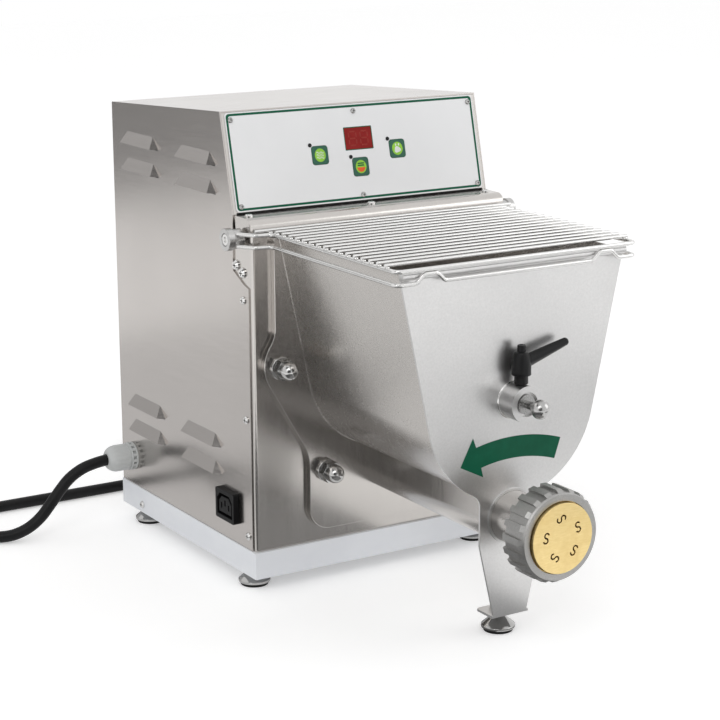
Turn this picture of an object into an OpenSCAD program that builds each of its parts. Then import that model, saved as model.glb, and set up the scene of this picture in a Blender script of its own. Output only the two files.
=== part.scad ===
// Electric pasta maker: a steel cabinet with a mixing bowl, an extrusion barrel and a brass die.
// Millimetres. X runs across, the bowl points to -Y, Z is up and the feet stand on z = 0.
// Depths are measured from the cabinet's front cover, heights from the table.

/* [Cabinet] */
// Width over the side panels
cabinet_w = 260; // [250:1:300]
// Depth from the front cover to the rear edge
cabinet_d = 262; // [250:1:320]
// Height of the top panel's front edge
cabinet_h = 413; // [405:1:440]
// Fall of the top panel from front to rear
top_fall = 12; // [4:1:24]
// Thickness of the cabinet's sheet
sheet = 1.2; // [1:0.1:1.5]
// Height of the base tray's top, where the sheets stand
tray_top_z = 38; // [34:1:42]
// Clear height under the base tray
tray_clear = 14.3; // [13.5:0.1:17]
// Overhang of the tray in front of the cover
tray_front = 3; // [2:0.5:6]
// Wall of the base tray
tray_wall = 1.5; // [1.2:0.1:2.5]

/* [Control panel] */
// Height of the sloping panel
panel_h = 85; // [80:1:90]
// Setback of the control panel's lower edge
panel_foot_y = 30; // [30:1:36]
// Setback of the control panel's upper edge
panel_head_y = 50.5; // [46:0.5:60]
// Thickness of the panel behind the label
backing_t = 1.5; // [1:0.1:2.5]
// Bare steel on each side of the label plate
label_side = 4; // [3:0.5:8]
// Bare steel above and below the label plate
label_edge = 1.7; // [1.5:0.1:4]
// Thickness of the label plate
label_t = 0.8; // [0.5:0.1:1.2]
// Side of a square key
key_size = 16; // [13:0.5:18]
// Corner radius of a key
key_corner = 2.5; // [1.5:0.5:4]
// Travel of a key
key_travel = 0.8; // [0.4:0.1:1.2]
// Sideways pitch of the keys
key_pitch = 39.5; // [34:0.5:46]
// Height of the outer keys along the slope
key_high = 43.5; // [40:0.5:48]
// Height of the middle key along the slope
key_low = 30.5; // [24:0.5:32]
// Width of the display window
display_w = 27.5; // [24:0.5:34]
// Height of the display window
display_h = 19; // [14:0.5:22]

/* [Bowl] */
// Reach of the bowl's front plate
bowl_reach = 194; // [180:1:210]
// Height of the cabinet's top above the bowl's rim
rim_drop = 101; // [99:0.5:106]
// Outer radius of the trough
trough_r = 79; // [76:0.5:80]
// Height of the trough's arc centre
trough_z = 197.5; // [196.5:0.5:199]
// Gap between the bowl's rim and the lid's side wires
rim_gap = 9.2; // [8:0.1:14]
// Sheet of the trough
bowl_sheet = 1.5; // [1:0.1:2]
// Thickness of the front plate
front_plate_t = 2; // [1.5:0.1:3]
// Lip of the front plate around the trough
front_lip = 2; // [1:0.5:4]
// Thickness of the rear plate
rear_plate_t = 6; // [4:0.5:7]
// Radius of the rolled bead on the front rim
bead_r = 3.2; // [2.5:0.1:3.5]
// Width of the front leg
leg_w = 62; // [58:1:70]
// Width of the leg's lower end
leg_end_w = 32; // [26:1:36]
// Radius of the cap nut studs
stud_r = 5; // [4:0.5:5]

/* [Extruder] */
// Height of the mixing shaft
mixer_z = 200; // [199:0.5:200]
// Height of the extrusion barrel's axis
auger_z = 103; // [102:0.5:104]
// Outer radius of the barrel
barrel_r = 24; // [23:0.5:26]
// Radius of the feed auger
auger_r = 14; // [12:0.5:14]
// Running clearance around the auger
auger_clear = 0.5; // [0.3:0.1:1]
// Outer radius of the nozzle tube
nozzle_r = 21.6; // [21:0.1:23]
// Radius of the threaded head
head_r = 31.5; // [31:0.1:32]
// Radius of the die's face
die_r = 28.8; // [26:0.1:29]
// Radius of the ring nut's front rim
nut_rim_r = 35; // [34.5:0.5:36]
// Height of the ring nut's ribs
nut_rib = 2; // [1.5:0.5:3]
// Number of ribs
nut_ribs = 20; // [16:1:24]
// Length of the ring nut
nut_l = 24; // [23:0.5:26]
// Reach of the die's face
nut_reach = 262; // [258:1:280]
// Height of the die's face over the ring nut's rim
die_proud = 3; // [1:0.5:4]

/* [Lid] */
// Radius of the frame wire
rail_r = 1.75; // [1.5:0.05:2]
// Radius of the cross wires
cross_r = 1.5; // [1.2:0.05:1.8]
// Number of cross wires
cross_count = 17; // [12:1:19]
// Distance of the side wires from the cabinet's sides
rail_inset = 15; // [13:0.5:17]
// Height between the two frame wires
rail_drop = 10.3; // [9:0.1:12]
// Depth of the hinge axis
hinge_y = 15; // [14:0.5:16]
// Height of the bowl's rim above the hinge axis
hinge_drop = 1; // [0:0.5:2]
// Radius of the hinge hub
hub_r = 9.5; // [8:0.5:10]
// Length of the hinge hub
hub_l = 15; // [12:0.5:18]

/* [Fittings] */
// Radius of the locking pin's boss
boss_r = 15; // [13:0.5:17]
// Length of the boss
boss_l = 19; // [18:0.5:24]
// Radius of the locking pin
pin_r = 5; // [4:0.5:6]
// Radius of the pin's ball
ball_r = 7.8; // [6:0.1:9]
// Length of the clamp lever's arm from its axis
lever_l = 44; // [35:1:55]
// Radius of a foot's rim
foot_r = 14.2; // [12:0.2:14.6]
// Distance of the corner feet from the tray's sides
foot_inset = 14.5; // [14.5:0.5:20]
// Depth of the front corner feet
foot_front_y = 26.5; // [24:0.5:32]
// Distance of the rear corner feet from the rear edge
foot_rear_inset = 29; // [28:0.5:36]
// Distance of the leg's foot behind the front plate
foot_leg_inset = 16.5; // [15:0.5:18]
// Radius of the mains cord
cord_r = 5.4; // [4.5:0.1:5.5]

/* [Hidden] */
$fn = 48;

// Clearances
snug = 0.1; // between fixed pieces that are pushed together
run_fit = 0.05; // radial clearance of a shaft in its bearing
gap = 0.3; // between pieces that move past each other
over = 1; // length by which a cut runs past a face

// The part is centred front to rear, whatever its reach and depth
shift_y = (nut_reach - cabinet_d) / 2;

// Cabinet
half_w = cabinet_w / 2;
rear_h = cabinet_h - top_fall;
panel_foot_z = cabinet_h - panel_h;
rim_z = cabinet_h - rim_drop;
hinge_z = rim_z - hinge_drop;
rail_x = half_w - rail_inset;
foot_rear_y = cabinet_d - foot_rear_inset;
foot_leg_y = foot_leg_inset - bowl_reach;
side_y = 4.2; // front edge of the side panels
notch_y = 31; // rear edge of the hinge notch in the side panels
notch_z = hinge_z - 30; // where the notch turns forwards
notch_end_z = hinge_z - 42; // where the notch meets the front edge
notch_run = [8.5, 2.5]; // the notch's short slope at the front edge
panel_tilt = atan2(panel_head_y - panel_foot_y, cabinet_h - panel_foot_z);
panel_len = norm([panel_head_y - panel_foot_y, cabinet_h - panel_foot_z]);
rear_panel_y = cabinet_d - 3;
cover_half_w = half_w - sheet - snug;
cover_flange_y = 34; // depth of the cover's side flanges
cover_corner = 3;
ledge_r = 10; // bend of the ledge under the control panel
tray_half_w = half_w + 1;
tray_floor_z = tray_clear + tray_wall;
tray_rim = 9; // width of the tray's folded rim

// Louvres: rows by the height of their lower lip, columns by the depth of their front end
louvre_rows = [panel_foot_z + 38.8, panel_foot_z + 14.5, tray_top_z + 80.4, tray_top_z + 55.8];
louvre_ends = [58.6, cabinet_d - 94.5];
louvre_l = 73;
louvre_h = 10.5;
louvre_proud = 6;
louvre_wall = 1;
louvre_turns = [225, 135]; // which way the front and the rear end lean
louvre_rise = atan2(1, sqrt(2)); // and how steeply

// Cooling slots of the rear panel
rear_slot_x = 36;
rear_slot_w = 60;
rear_slot_h = 4;
rear_slot_pitch = 16;

// Screws
screw_r = 3.5;
screw_h = 2;
bracket_screw_r = 4.5;
side_screw_z = [notch_end_z - 11, tray_top_z + 12];
side_screws = [[13.2, side_screw_z[0]], [11.5, (side_screw_z[0] + side_screw_z[1]) / 2],
    [10.7, side_screw_z[1]]];
bracket_screws = [[26.5, hinge_z - 25], [15.5, hinge_z - 30]];
screw_hole_r = screw_r / 2 + 0.05;
screw_reach = 3; // length of the short screws behind their heads
tray_screw_y = cabinet_d - 43;
tray_screw_z = tray_clear + 8;
rear_screw_x = half_w - 12;
ledge_screw_y = 18;
rear_screw_z = [tray_top_z + 20, rear_h - 20];

// Control panel, in the panel's own plane
label_w = cabinet_w - 2 * label_side;
label_h = panel_len - 2 * label_edge;
label_screw_x = label_w / 2 - 5;
label_screw_z = [label_edge + 4.5, label_edge + label_h - 6.3];
label_screw_r = 2.4;
display_x = 2;
display_z = 55.5;
keys = [[-key_pitch + 1, key_high], [1, key_low], [key_pitch + 1, key_high]];
led_r = 1.7;
led_offset = [-key_size / 2 - 1, key_size / 2 + 1.2];
key_proud = 0.3; // how far a key stands out of the label
key_flange_r = key_size / 2 + 1.5;
key_flange_t = 1;
board_depth = 8;
board_t = 1.6;
board_w = 112;
board_h = 60;
board_z = 42;
post_r = 3;

// Bowl
plate_front = -bowl_reach;
plate_back = -bowl_reach + front_plate_t;
trough_inner_r = trough_r - bowl_sheet;
rim_half_w = rail_x - rim_gap;
bowl_flare = atan2(rim_half_w, rim_z - trough_z)
    - asin(trough_r / norm([rim_half_w, rim_z - trough_z]));
slot_half_w = auger_r - 1;
slot_front = 150;
slot_rear = 10;
bead_y = plate_front - 1.2;
bead_z = rim_z - 1;
leg_knee_z = 82;
leg_bottom_z = 18;
leg_fillet = 12;
tab_t = 2;
tab_w = leg_end_w + 4;
tab_d = foot_leg_inset + 6.5;
tab_corner = 3;
weld_r = nozzle_r + 1.8;
plate_half_w = rail_x - 4.4; // half width of the rear plate above its ears
ear_x = rail_x - 23.7;
ear_z = 202;
ear_r = 30;
ear_fillet = 25;
plate_low_w = 78; // half width of the rear plate below its ears
knee_z = 119.5; // where its edge turns outwards to the ears
knee_fillet = 45;
plate_low_z = 70; // centre of the rounded lower corners
plate_corner = 20;
studs = [[rail_x - 9.5, mixer_z], [61, auger_z]];
washer_r = 10;
washer_t = 2;
nut_flats = 17;
nut_h = 8;
dome_r = 7.9;
dome_h = 12; // height of the dome's centre over the washer

// Paddle
paddle_hub_r = 12;
paddle_arm_r = 5;
paddle_tip = 74;
paddle_first = -26; // depth of the first arm
paddle_pitch = (bowl_reach - 58) / 4;
blade = [20, 5, 26];
blade_lean = 35;

// Locking pin, boss and lever
boss_front = plate_front - boss_l;
boss_recess_r = 10;
boss_recess = 4;
pin_socket_y = plate_back + 16; // rear end of the pin, in the paddle's socket
ball_y = boss_front - 16.8;
lever_y = plate_front - 10;
lever_z = mixer_z + boss_r + gap;
lever_stud_r = 2.5;
lever_tilt = 16;
lever_tip_r = 3.1;

// Extruder
bore_r = auger_r + auger_clear;
chamber_r = 21; // room behind the die, where the dough spreads to its slots
chamber_l = 7;
rim_front = -nut_reach + die_proud;
nut_rear = rim_front + nut_l;
nut_floor_r = nut_rim_r + 1; // between the ribs
rib_w = 5.3;
rib_turn = 1.5; // place of the first rib in degrees
head_front = -nut_reach + 12;
head_l = 13;
die_flange_r = die_r + 2.2;
die_flange_t = 5.5;
nut_lip_clear = 1;
die_slot_ring = 16.3;
die_slots = [[96, 72], [25, -10], [-46, 38], [-117, -50], [170, 15]]; // place and lean in degrees

// Feet
foot_pad_r = 12.2;
foot_pad_h = 3;
foot_rim_h = 2;
foot_neck_r = 5;
foot_stud_r = 4;
foot_nut_r = 7.5;
foot_x_out = tray_half_w - foot_inset;
corner_feet = [[-foot_x_out, foot_front_y], [foot_x_out, foot_front_y],
    [-foot_x_out, foot_rear_y], [foot_x_out, foot_rear_y]];

// Gear train: the drive axes as seen from the front, with the motor on the centre line
gear_teeth = 48;
gear_r = (mixer_z - auger_z) / 2;
gear_module = 2 * gear_r / gear_teeth;
small_teeth = 12;
small_r = gear_module * small_teeth / 2;
wheel_r = 41;
wheel_teeth = 41;
pinion_r = 9;
pinion_teeth = 9;
lay_x = wheel_r + pinion_r;
lay_z = auger_z + sqrt(pow(gear_r + small_r, 2) - lay_x * lay_x);
motor_z = lay_z;
tooth_gap = 0.15; // the tips stop short of the pitch circle
shaft_r = 10;
mixer_key = 10; // square tongues that drive the paddle and the auger
mixer_key_l = 18;
auger_key = 7;
auger_key_l = 16;
lay_shaft_r = 8;
rotor_shaft_r = 7;
bearing_r = 16;
small_bearing_r = 13;
chassis_y = sheet + 0.2;
chassis_t = 6;
chassis_half_w = half_w - 8;
chassis_top_z = mixer_z + gear_r + 4.5;
shelf_z = tray_top_z + 1; // the chassis stands on two blocks in the tray
shelf_d = 60;
shelf_t = 5;
block_w = 28;
block_d = 50;
block_x = tray_half_w - foot_inset - foot_nut_r - block_w / 2 - 5;
gearbox_y = chassis_y + chassis_t;
gearbox_wall = 6;
gearbox_left = -gear_r - 9;
gearbox_right = lay_x + wheel_r + 9;
gearbox_low = auger_z - gear_r - 6;
gearbox_top = mixer_z + gear_r + 6;
gears_y = gearbox_y + gearbox_wall + 3.6;
gear_t = 12;
wheels_y = gears_y + gear_t + 6;
wheel_t = 10;
gearbox_rear = wheels_y + wheel_t + 10;
motor_y = gearbox_rear + gearbox_wall;
motor_r = 58;
motor_l = 116;
motor_wall = 8;
rotor_r = 36;
fan_r = 46;
fan_y = motor_y + motor_l + 8;
fan_t = 18;
fan_cover_l = 40;

// Lid and hinge
bracket_t = 4;
bracket_x = cover_half_w - sheet - bracket_t;
bracket_y = sheet + cover_corner;
lid_switch_size = [12, 24, 20];
lid_switch_z = hinge_z - 36;
rail_z = rim_z + 4.3;
cross_z = rail_z + rail_r + cross_r + 0.05;
front_wire_y = bead_y - bead_r - rail_r - 0.4;
cross_first = front_wire_y + 13.5;
hinge_run_y = hinge_y - 22.8; // where the side wires turn out to the hubs
cross_pitch = (hinge_run_y - cross_first) / (cross_count - 1);
hub_x = half_w + 1;
hub_pin_r = 3;
hub_head_r = 5;
hub_head_l = 3;
hub_disc_l = 6;
bump_x = 84;
bump_z = rail_z - 2 * rail_r - 0.1;
bump_half = 6;
bump_foot = 13;

// Mains: outlet, gland and cord
outlet_y = 45;
outlet_z = 69.5;
outlet_w = 33.5;
outlet_h = 27.5;
outlet_t = 5.2;
outlet_body_w = 28;
outlet_body_h = 22;
capacitor_r = 19;
capacitor_h = 90;
capacitor_place = [2 * capacitor_r + 4 - half_w, cabinet_d - 72];
terminal_size = [60, 22, 14];
gland_y = cabinet_d - 22.5;
gland_z = 65.7;
gland_r = 12.5;
gland_rim_r = 13.3;
gland_rim_l = 6;
gland_end = 28;
floor_z = cord_r + 0.2;
behind_y = cabinet_d + 72; // where the cord runs along behind the cabinet
coil_mid_r = 6 * 2 * cord_r; // middle of the coil's turns
coil_half_w = 2 * cord_r + 0.2; // half width of its two turns side by side
coil_h = 4 * cord_r + 0.5;
coil_x = 85;
coil_y = behind_y + coil_mid_r + cord_r + 0.15;
plug_r = 18;
plug_l = 36;
plug_relief = 24;
plug_x = coil_x - 46; // where the plug's body ends towards the coil
plug_y = 2 * coil_y - behind_y;
plug_pin = [2.4, 19, 9.5]; // radius, length and half pitch of the pins
cord_route = [[-half_w - gland_end, gland_y, gland_z], [-half_w - 40, gland_y, gland_z - 1.5],
    [-half_w - 53.4, gland_y, gland_z - 4.9], [-half_w - 66.5, gland_y, gland_z - 12.3],
    [-half_w - 77, gland_y, gland_z - 22.8], [-half_w - 86.7, gland_y, gland_z - 34.3],
    [-half_w - 97, gland_y, floor_z + 14.9], [-half_w - 109.5, gland_y + 0.3, floor_z + 6.7],
    [-half_w - 123.2, gland_y + 3.3, floor_z + 1.6], [-half_w - 136.6, gland_y + 9.7, floor_z],
    [-half_w - 147.7, gland_y + 19.7, floor_z], [-half_w - 155, gland_y + 32.8, floor_z],
    [-half_w - 157.7, behind_y - 47.1, floor_z], [-half_w - 155.6, behind_y - 32.3, floor_z],
    [-half_w - 148.8, behind_y - 18.9, floor_z], [-half_w - 138.2, behind_y - 8.5, floor_z],
    [-half_w - 124.7, behind_y - 2, floor_z], [-half_w - 109.9, behind_y, floor_z],
    [-half_w - 60, behind_y, floor_z], [-half_w, behind_y, floor_z], [-60, behind_y, floor_z],
    [10, behind_y, floor_z], [coil_x - 14, behind_y, floor_z]];

// ---------- Helpers ----------

module place() {
    translate([0, shift_y, 0]) children();
}

// An outline drawn in X and Z, between two depths
module along_y(from, to) {
    translate([0, to, 0]) rotate([90, 0, 0]) linear_extrude(height = to - from) children();
}

// An outline drawn in Y and Z, between two places across
module along_x(from, to) {
    translate([from, 0, 0]) rotate([90, 0, 90]) linear_extrude(height = to - from) children();
}

module rod_y(r, from, to, x = 0, z = 0) {
    translate([x, to, z]) rotate([90, 0, 0]) cylinder(h = to - from, r = r);
}

module rod_x(r, from, to, y = 0, z = 0) {
    translate([from, y, z]) rotate([0, 90, 0]) cylinder(h = to - from, r = r);
}

module both_sides() {
    children();
    mirror([1, 0, 0]) children();
}

module round_box2d(w, h, r) {
    square([w - 2 * r, h], center = true);
    square([w, h - 2 * r], center = true);
    for (x = [-1, 1], y = [-1, 1]) translate([x * (w / 2 - r), y * (h / 2 - r)]) circle(r);
}

// The control panel's plane: X across, Y into the cabinet, Z up the slope
module on_panel() {
    translate([0, panel_foot_y, panel_foot_z]) rotate([-panel_tilt, 0, 0]) children();
}

// A tube swept along points: each ring is turned square to the path
function unit(v) = v / norm(v);
function path_dir(p, i) =
    unit(p[min(i + 1, len(p) - 1)] - p[max(i - 1, 0)]);
function carried(n, t) = unit(n - (n * t) * t);
function ring_normals(p, i = 0, n = [0.1, 0.2, 1]) =
    i == len(p) ? [] :
    let (m = carried(n, path_dir(p, i))) concat([m], ring_normals(p, i + 1, m));
function tube_points(p, r, sides) =
    let (normals = ring_normals(p))
    [for (i = [0:len(p) - 1], k = [0:sides - 1])
        let (t = path_dir(p, i), n = normals[i], b = cross(t, n), a = 360 * k / sides)
        p[i] + r * (cos(a) * n + sin(a) * b)];
function tube_faces(rings, sides) = concat(
    [[for (k = [0:sides - 1]) k]],
    [for (i = [0:rings - 2], k = [0:sides - 1])
        let (m = (k + 1) % sides)
        [i * sides + k, (i + 1) * sides + k, (i + 1) * sides + m, i * sides + m]],
    [[for (k = [sides - 1:-1:0]) (rings - 1) * sides + k]]);

// Corners of a path rounded to a radius
function corner(a, b, c, r, steps) =
    let (u = unit(a - b), v = unit(c - b), half = acos(u * v) / 2, d = r / tan(half),
        mid = b + unit(u + v) * (r / sin(half)), s = b + u * d - mid, e = b + v * d - mid,
        turn = 180 - 2 * half)
    [for (k = [0:steps]) let (f = k / steps)
        mid + (sin((1 - f) * turn) * s + sin(f * turn) * e) / sin(turn)];
function rounded_path(p, r, steps = 5) = concat([p[0]],
    [for (i = [1:len(p) - 2]) each corner(p[i - 1], p[i], p[i + 1], r, steps)],
    [p[len(p) - 1]]);

// Points spread evenly between the points of a smooth curve through p
function curve_at(a, b, c, d, f) = 0.5 * (2 * b + (c - a) * f
    + (2 * a - 5 * b + 4 * c - d) * f * f + (3 * b - a - 3 * c + d) * f * f * f);
function smooth_path(p, steps) = concat(
    [for (i = [0:len(p) - 2], k = [0:steps - 1])
        curve_at(p[max(i - 1, 0)], p[i], p[i + 1], p[min(i + 2, len(p) - 1)], k / steps)],
    [p[len(p) - 1]]);

module tube(p, r, sides) {
    polyhedron(points = tube_points(p, r, sides), faces = tube_faces(len(p), sides), convexity = 6);
}

module gear2d(r, teeth, depth) {
    tip = r - tooth_gap;
    root = r - depth;
    step = 360 / teeth;
    polygon([for (i = [0:teeth - 1], q = [[-0.42, root], [-0.22, tip], [0.22, tip], [0.42, root]])
        q[1] * [cos((i + q[0]) * step), sin((i + q[0]) * step)]]);
}

// ---------- Cabinet ----------

module base_tray() {
    outer_d = cabinet_d + tray_front;
    color("whitesmoke") place() difference() {
        translate([-tray_half_w, -tray_front, tray_clear])
            cube([2 * tray_half_w, outer_d, tray_top_z - tray_clear]);
        translate([-tray_half_w + tray_wall, -tray_front + tray_wall, tray_floor_z])
            cube([2 * (tray_half_w - tray_wall), outer_d - 2 * tray_wall,
                tray_top_z - tray_floor_z - tray_wall]);
        translate([-tray_half_w + tray_rim, -tray_front + tray_rim, tray_floor_z])
            cube([2 * (tray_half_w - tray_rim), outer_d - 2 * tray_rim, tray_top_z]);
        for (f = corner_feet) translate([f[0], f[1], tray_clear - over])
            cylinder(h = tray_wall + 2 * over, r = foot_stud_r + run_fit);
        both_sides() rod_x(screw_hole_r, -tray_half_w - over, -tray_half_w + tray_wall + over,
            tray_screw_y, tray_screw_z);
    }
}

function top_z(y) = cabinet_h - top_fall * (y - panel_head_y) / (cabinet_d - panel_head_y);

module side_outline() {
    polygon([[side_y, tray_top_z], [side_y, notch_end_z], [side_y, notch_end_z] + notch_run,
        [notch_y, notch_z], [panel_foot_y, panel_foot_z], [panel_head_y, cabinet_h],
        [cabinet_d, rear_h], [cabinet_d, tray_top_z]]);
}

// A louvre is pressed out of the panel: flush at its top, open under its lip, with leaning ends
module louvre_wedge(inside, low, inset) {
    drop = inset * norm([1, louvre_h / louvre_proud]);
    difference() {
        along_y(-over, louvre_l + over) polygon([[inside, low],
            [louvre_proud * ((drop + low) / louvre_h - 1), low],
            [inside, louvre_h * (1 + inside / louvre_proud) - drop]]);
        for (i = [0, 1]) translate([0, i * louvre_l, 0]) rotate([0, -louvre_rise, louvre_turns[i]])
            translate([-inset, -louvre_l, -louvre_l]) cube(2 * louvre_l);
    }
}

module louvre_places() {
    both_sides() for (z = louvre_rows, y = louvre_ends) translate([-half_w, y, z]) children();
}

module casing_shell() {
    color("silver") place() difference() {
        union() {
            casing_sheet();
            louvre_places() louvre_wedge(sheet / 2, 0, 0);
        }
        louvre_places() louvre_wedge(sheet + over, -over, louvre_wall);
    }
}

module casing_sheet() {
    difference() {
        along_x(-half_w, half_w) side_outline();
        along_x(-half_w + sheet, half_w - sheet) polygon([[-over, tray_top_z - over],
            [-over, top_z(0) - sheet], [cabinet_d + over, top_z(cabinet_d + over) - sheet],
            [cabinet_d + over, tray_top_z - over]]);
        both_sides() for (s = side_screws)
            rod_x(screw_hole_r, -half_w - over, -half_w + sheet + over, s[0], s[1]);
        translate([-half_w - over, outlet_y - outlet_body_w / 2 - snug,
            outlet_z - outlet_body_h / 2 - snug])
            cube([sheet + 2 * over, outlet_body_w + 2 * snug, outlet_body_h + 2 * snug]);
        rod_x(8.2, -half_w - over, -half_w + sheet + over, gland_y, gland_z);
    }
}

module rear_panel() {
    color("silver") place() difference() {
        along_y(rear_panel_y, rear_panel_y + sheet) polygon([
            [-cover_half_w, tray_top_z], [-cover_half_w, top_z(rear_panel_y) - sheet - snug],
            [cover_half_w, top_z(rear_panel_y) - sheet - snug], [cover_half_w, tray_top_z]]);
        for (i = [-2.5:2.5], x = [-1, 1])
            translate([x * rear_slot_x - rear_slot_w / 2, rear_panel_y - over,
                motor_z + i * rear_slot_pitch - rear_slot_h / 2])
                cube([rear_slot_w, sheet + 2 * over, rear_slot_h]);
        for (x = [-rear_screw_x, rear_screw_x], z = rear_screw_z)
            rod_y(screw_hole_r, rear_panel_y - over, rear_panel_y + sheet + over, x, z);
    }
}

module cover_plan(inset) {
    r = cover_corner - inset;
    w = cover_half_w - inset;
    translate([-w, inset + r]) square([2 * w, cover_flange_y - inset - r + over]);
    translate([-w + r, inset]) square([2 * (w - r), 2 * r]);
    for (s = [-1, 1]) translate([s * (w - r), inset + r]) circle(r);
}

// Side outline of the cover: its top is rolled over to the shelf under the control panel
module ledge_outline(inset) {
    r = ledge_r - inset;
    translate([ledge_r, panel_foot_z - ledge_r]) circle(r);
    translate([ledge_r, panel_foot_z - 2 * ledge_r]) square([cover_flange_y, 2 * ledge_r - inset]);
    translate([inset, 0]) square([cover_flange_y, panel_foot_z - ledge_r]);
}

module front_cover() {
    color("silver") place() difference() {
        intersection() {
            difference() {
                translate([0, 0, tray_top_z])
                    linear_extrude(height = panel_foot_z - tray_top_z) cover_plan(0);
                difference() {
                    translate([0, 0, tray_top_z - over])
                        linear_extrude(height = panel_foot_z) cover_plan(sheet);
                    along_x(-cover_half_w, cover_half_w) difference() {
                        ledge_outline(0);
                        ledge_outline(sheet);
                    }
                }
            }
            along_x(-half_w, half_w) ledge_outline(0);
        }
        translate([-cabinet_w, cover_flange_y, 0]) cube([2 * cabinet_w, cabinet_d, cabinet_h]);
        translate([0, 0, panel_foot_z]) rotate([-panel_tilt, 0, 0])
            translate([-cabinet_w, panel_foot_y - 1, -ledge_r])
                cube([2 * cabinet_w, cabinet_d, 2 * ledge_r]);
        for (x = [-label_screw_x, 0, label_screw_x]) translate([x, ledge_screw_y, 0])
            cylinder(h = cabinet_h, r = screw_hole_r);
        translate([-half_w, outlet_y - outlet_body_w / 2 - snug, outlet_z - outlet_body_h / 2 - snug])
            cube([cover_flange_y, cover_flange_y, outlet_body_h + 2 * snug]);
        for (z = [mixer_z, auger_z]) rod_y(bearing_r, -over, 2 * sheet, 0, z);
        both_sides() for (s = studs) rod_y(stud_r + snug, -over, 2 * sheet, s[0], s[1]);
        both_sides() rod_x(hub_pin_r + snug, -half_w, -half_w + 6, hinge_y, hinge_z);
        both_sides() for (s = bracket_screws) rod_x(2.6, -half_w, -half_w + 6, s[0], s[1]);
        both_sides() for (s = side_screws)
            rod_x(screw_hole_r, -half_w, -half_w + 6, s[0], s[1]);
    }
}

module chassis_frame() {
    color("dimgray") place() difference() {
        union() {
            translate([-chassis_half_w, chassis_y, shelf_z])
                cube([2 * chassis_half_w, chassis_t, chassis_top_z - shelf_z]);
            translate([-chassis_half_w, chassis_y, shelf_z]) cube([2 * chassis_half_w, shelf_d, shelf_t]);
            for (x = [-1, 1]) translate([x * block_x - block_w / 2, chassis_y + 8, tray_floor_z])
                cube([block_w, block_d, shelf_z + 1 - tray_floor_z]);
        }
        for (z = [mixer_z, auger_z]) rod_y(bearing_r, 0, 2 * gearbox_y, 0, z);
    }
}

// ---------- Control panel ----------

module key_holes(clear) {
    for (k = keys) translate([k[0], 0, k[1]]) along_y(-2 * over, 3 * backing_t)
        round_box2d(key_size + 2 * clear, key_size + 2 * clear, key_corner + clear);
}

module led_holes() {
    for (k = keys) rod_y(led_r + snug, -2 * over, 3 * backing_t, k[0] + led_offset[0],
        k[1] + led_offset[1]);
}

module display_hole(clear) {
    translate([display_x - display_w / 2 - clear, -2 * over, display_z - display_h / 2 - clear])
        cube([display_w + 2 * clear, 3 * backing_t, display_h + 2 * clear]);
}

module label_screw_places() {
    for (x = [-label_screw_x, 0, label_screw_x], z = label_screw_z) translate([x, 0, z]) children();
}

module control_backing() {
    color("silver") place() on_panel() {
        difference() {
            translate([-cover_half_w, 0, gap])
                cube([2 * cover_half_w, backing_t, panel_len - 1.1 * sheet - 1.5 * gap]);
            key_holes(gap);
            led_holes();
            display_hole(snug);
            label_screw_places() rod_y(1.5, -over, backing_t + over);
        }
        for (x = [-1, 1], z = [-1, 1])
            rod_y(post_r, backing_t, board_depth, x * (board_w / 2 - 6) + 1,
                board_z + z * (board_h / 2 - 6));
    }
}

module label_plate() {
    color("white") place() on_panel() difference() {
        translate([0, 0, label_edge + label_h / 2]) along_y(-label_t, 0)
            round_box2d(label_w, label_h, 3);
        key_holes(gap);
        led_holes();
        display_hole(snug);
        label_screw_places() rod_y(1.5, -label_t - over, over);
    }
}

module pan_head(r, h) {
    cylinder(h = h * 0.4, r = r);
    translate([0, 0, h * 0.4]) cylinder(h = h * 0.6, r1 = r, r2 = r * 0.7);
}

module pan_screw(r, h, shank) {
    difference() {
        pan_head(r, h);
        translate([0, 0, h - 0.6]) for (a = [0, 90]) rotate(a)
            cube([r * 1.1, r * 0.26, 2], center = true);
    }
    translate([0, 0, -shank]) cylinder(h = shank, r = r * 0.5);
}

module label_screws() {
    color("lightgray") place() on_panel() label_screw_places()
        translate([0, -label_t, 0]) rotate([90, 0, 0]) pan_screw(label_screw_r, 1.4, 4);
}

module display_window() {
    color("darkred") place() on_panel() {
        translate([display_x - display_w / 2, -label_t, display_z - display_h / 2])
            cube([display_w, label_t + backing_t, display_h]);
        translate([display_x - display_w / 2 - 2, backing_t, display_z - display_h / 2 - 2])
            cube([display_w + 4, board_depth - backing_t, display_h + 4]);
    }
}

module control_board() {
    switch_y = backing_t + key_flange_t + gap + key_travel + 0.2;
    color("darkgreen") place() on_panel() {
        translate([1 - board_w / 2, board_depth, board_z - board_h / 2])
            cube([board_w, board_t, board_h]);
        for (k = keys) {
            translate([k[0] - 3, switch_y + 1, k[1] - 3]) cube([6, board_depth - switch_y - 1, 6]);
            rod_y(1.7, switch_y, board_depth, k[0], k[1]);
        }
    }
}

module status_leds() {
    color("black") place() on_panel() for (k = keys)
        rod_y(led_r, -label_t - 0.4, board_depth, k[0] + led_offset[0], k[1] + led_offset[1]);
}

module key_at(k) {
    flange_y = backing_t + gap;
    place() on_panel() translate([k[0], 0, k[1]]) {
        along_y(-label_t - key_proud, flange_y) round_box2d(key_size, key_size, key_corner);
        rod_y(key_flange_r, flange_y, flange_y + key_flange_t);
    }
}

module key_left() {
    color("green") key_at(keys[0]);
}

module key_centre() {
    color("green") key_at(keys[1]);
}

module key_right() {
    color("green") key_at(keys[2]);
}

// ---------- Lid and hinge ----------

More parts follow.
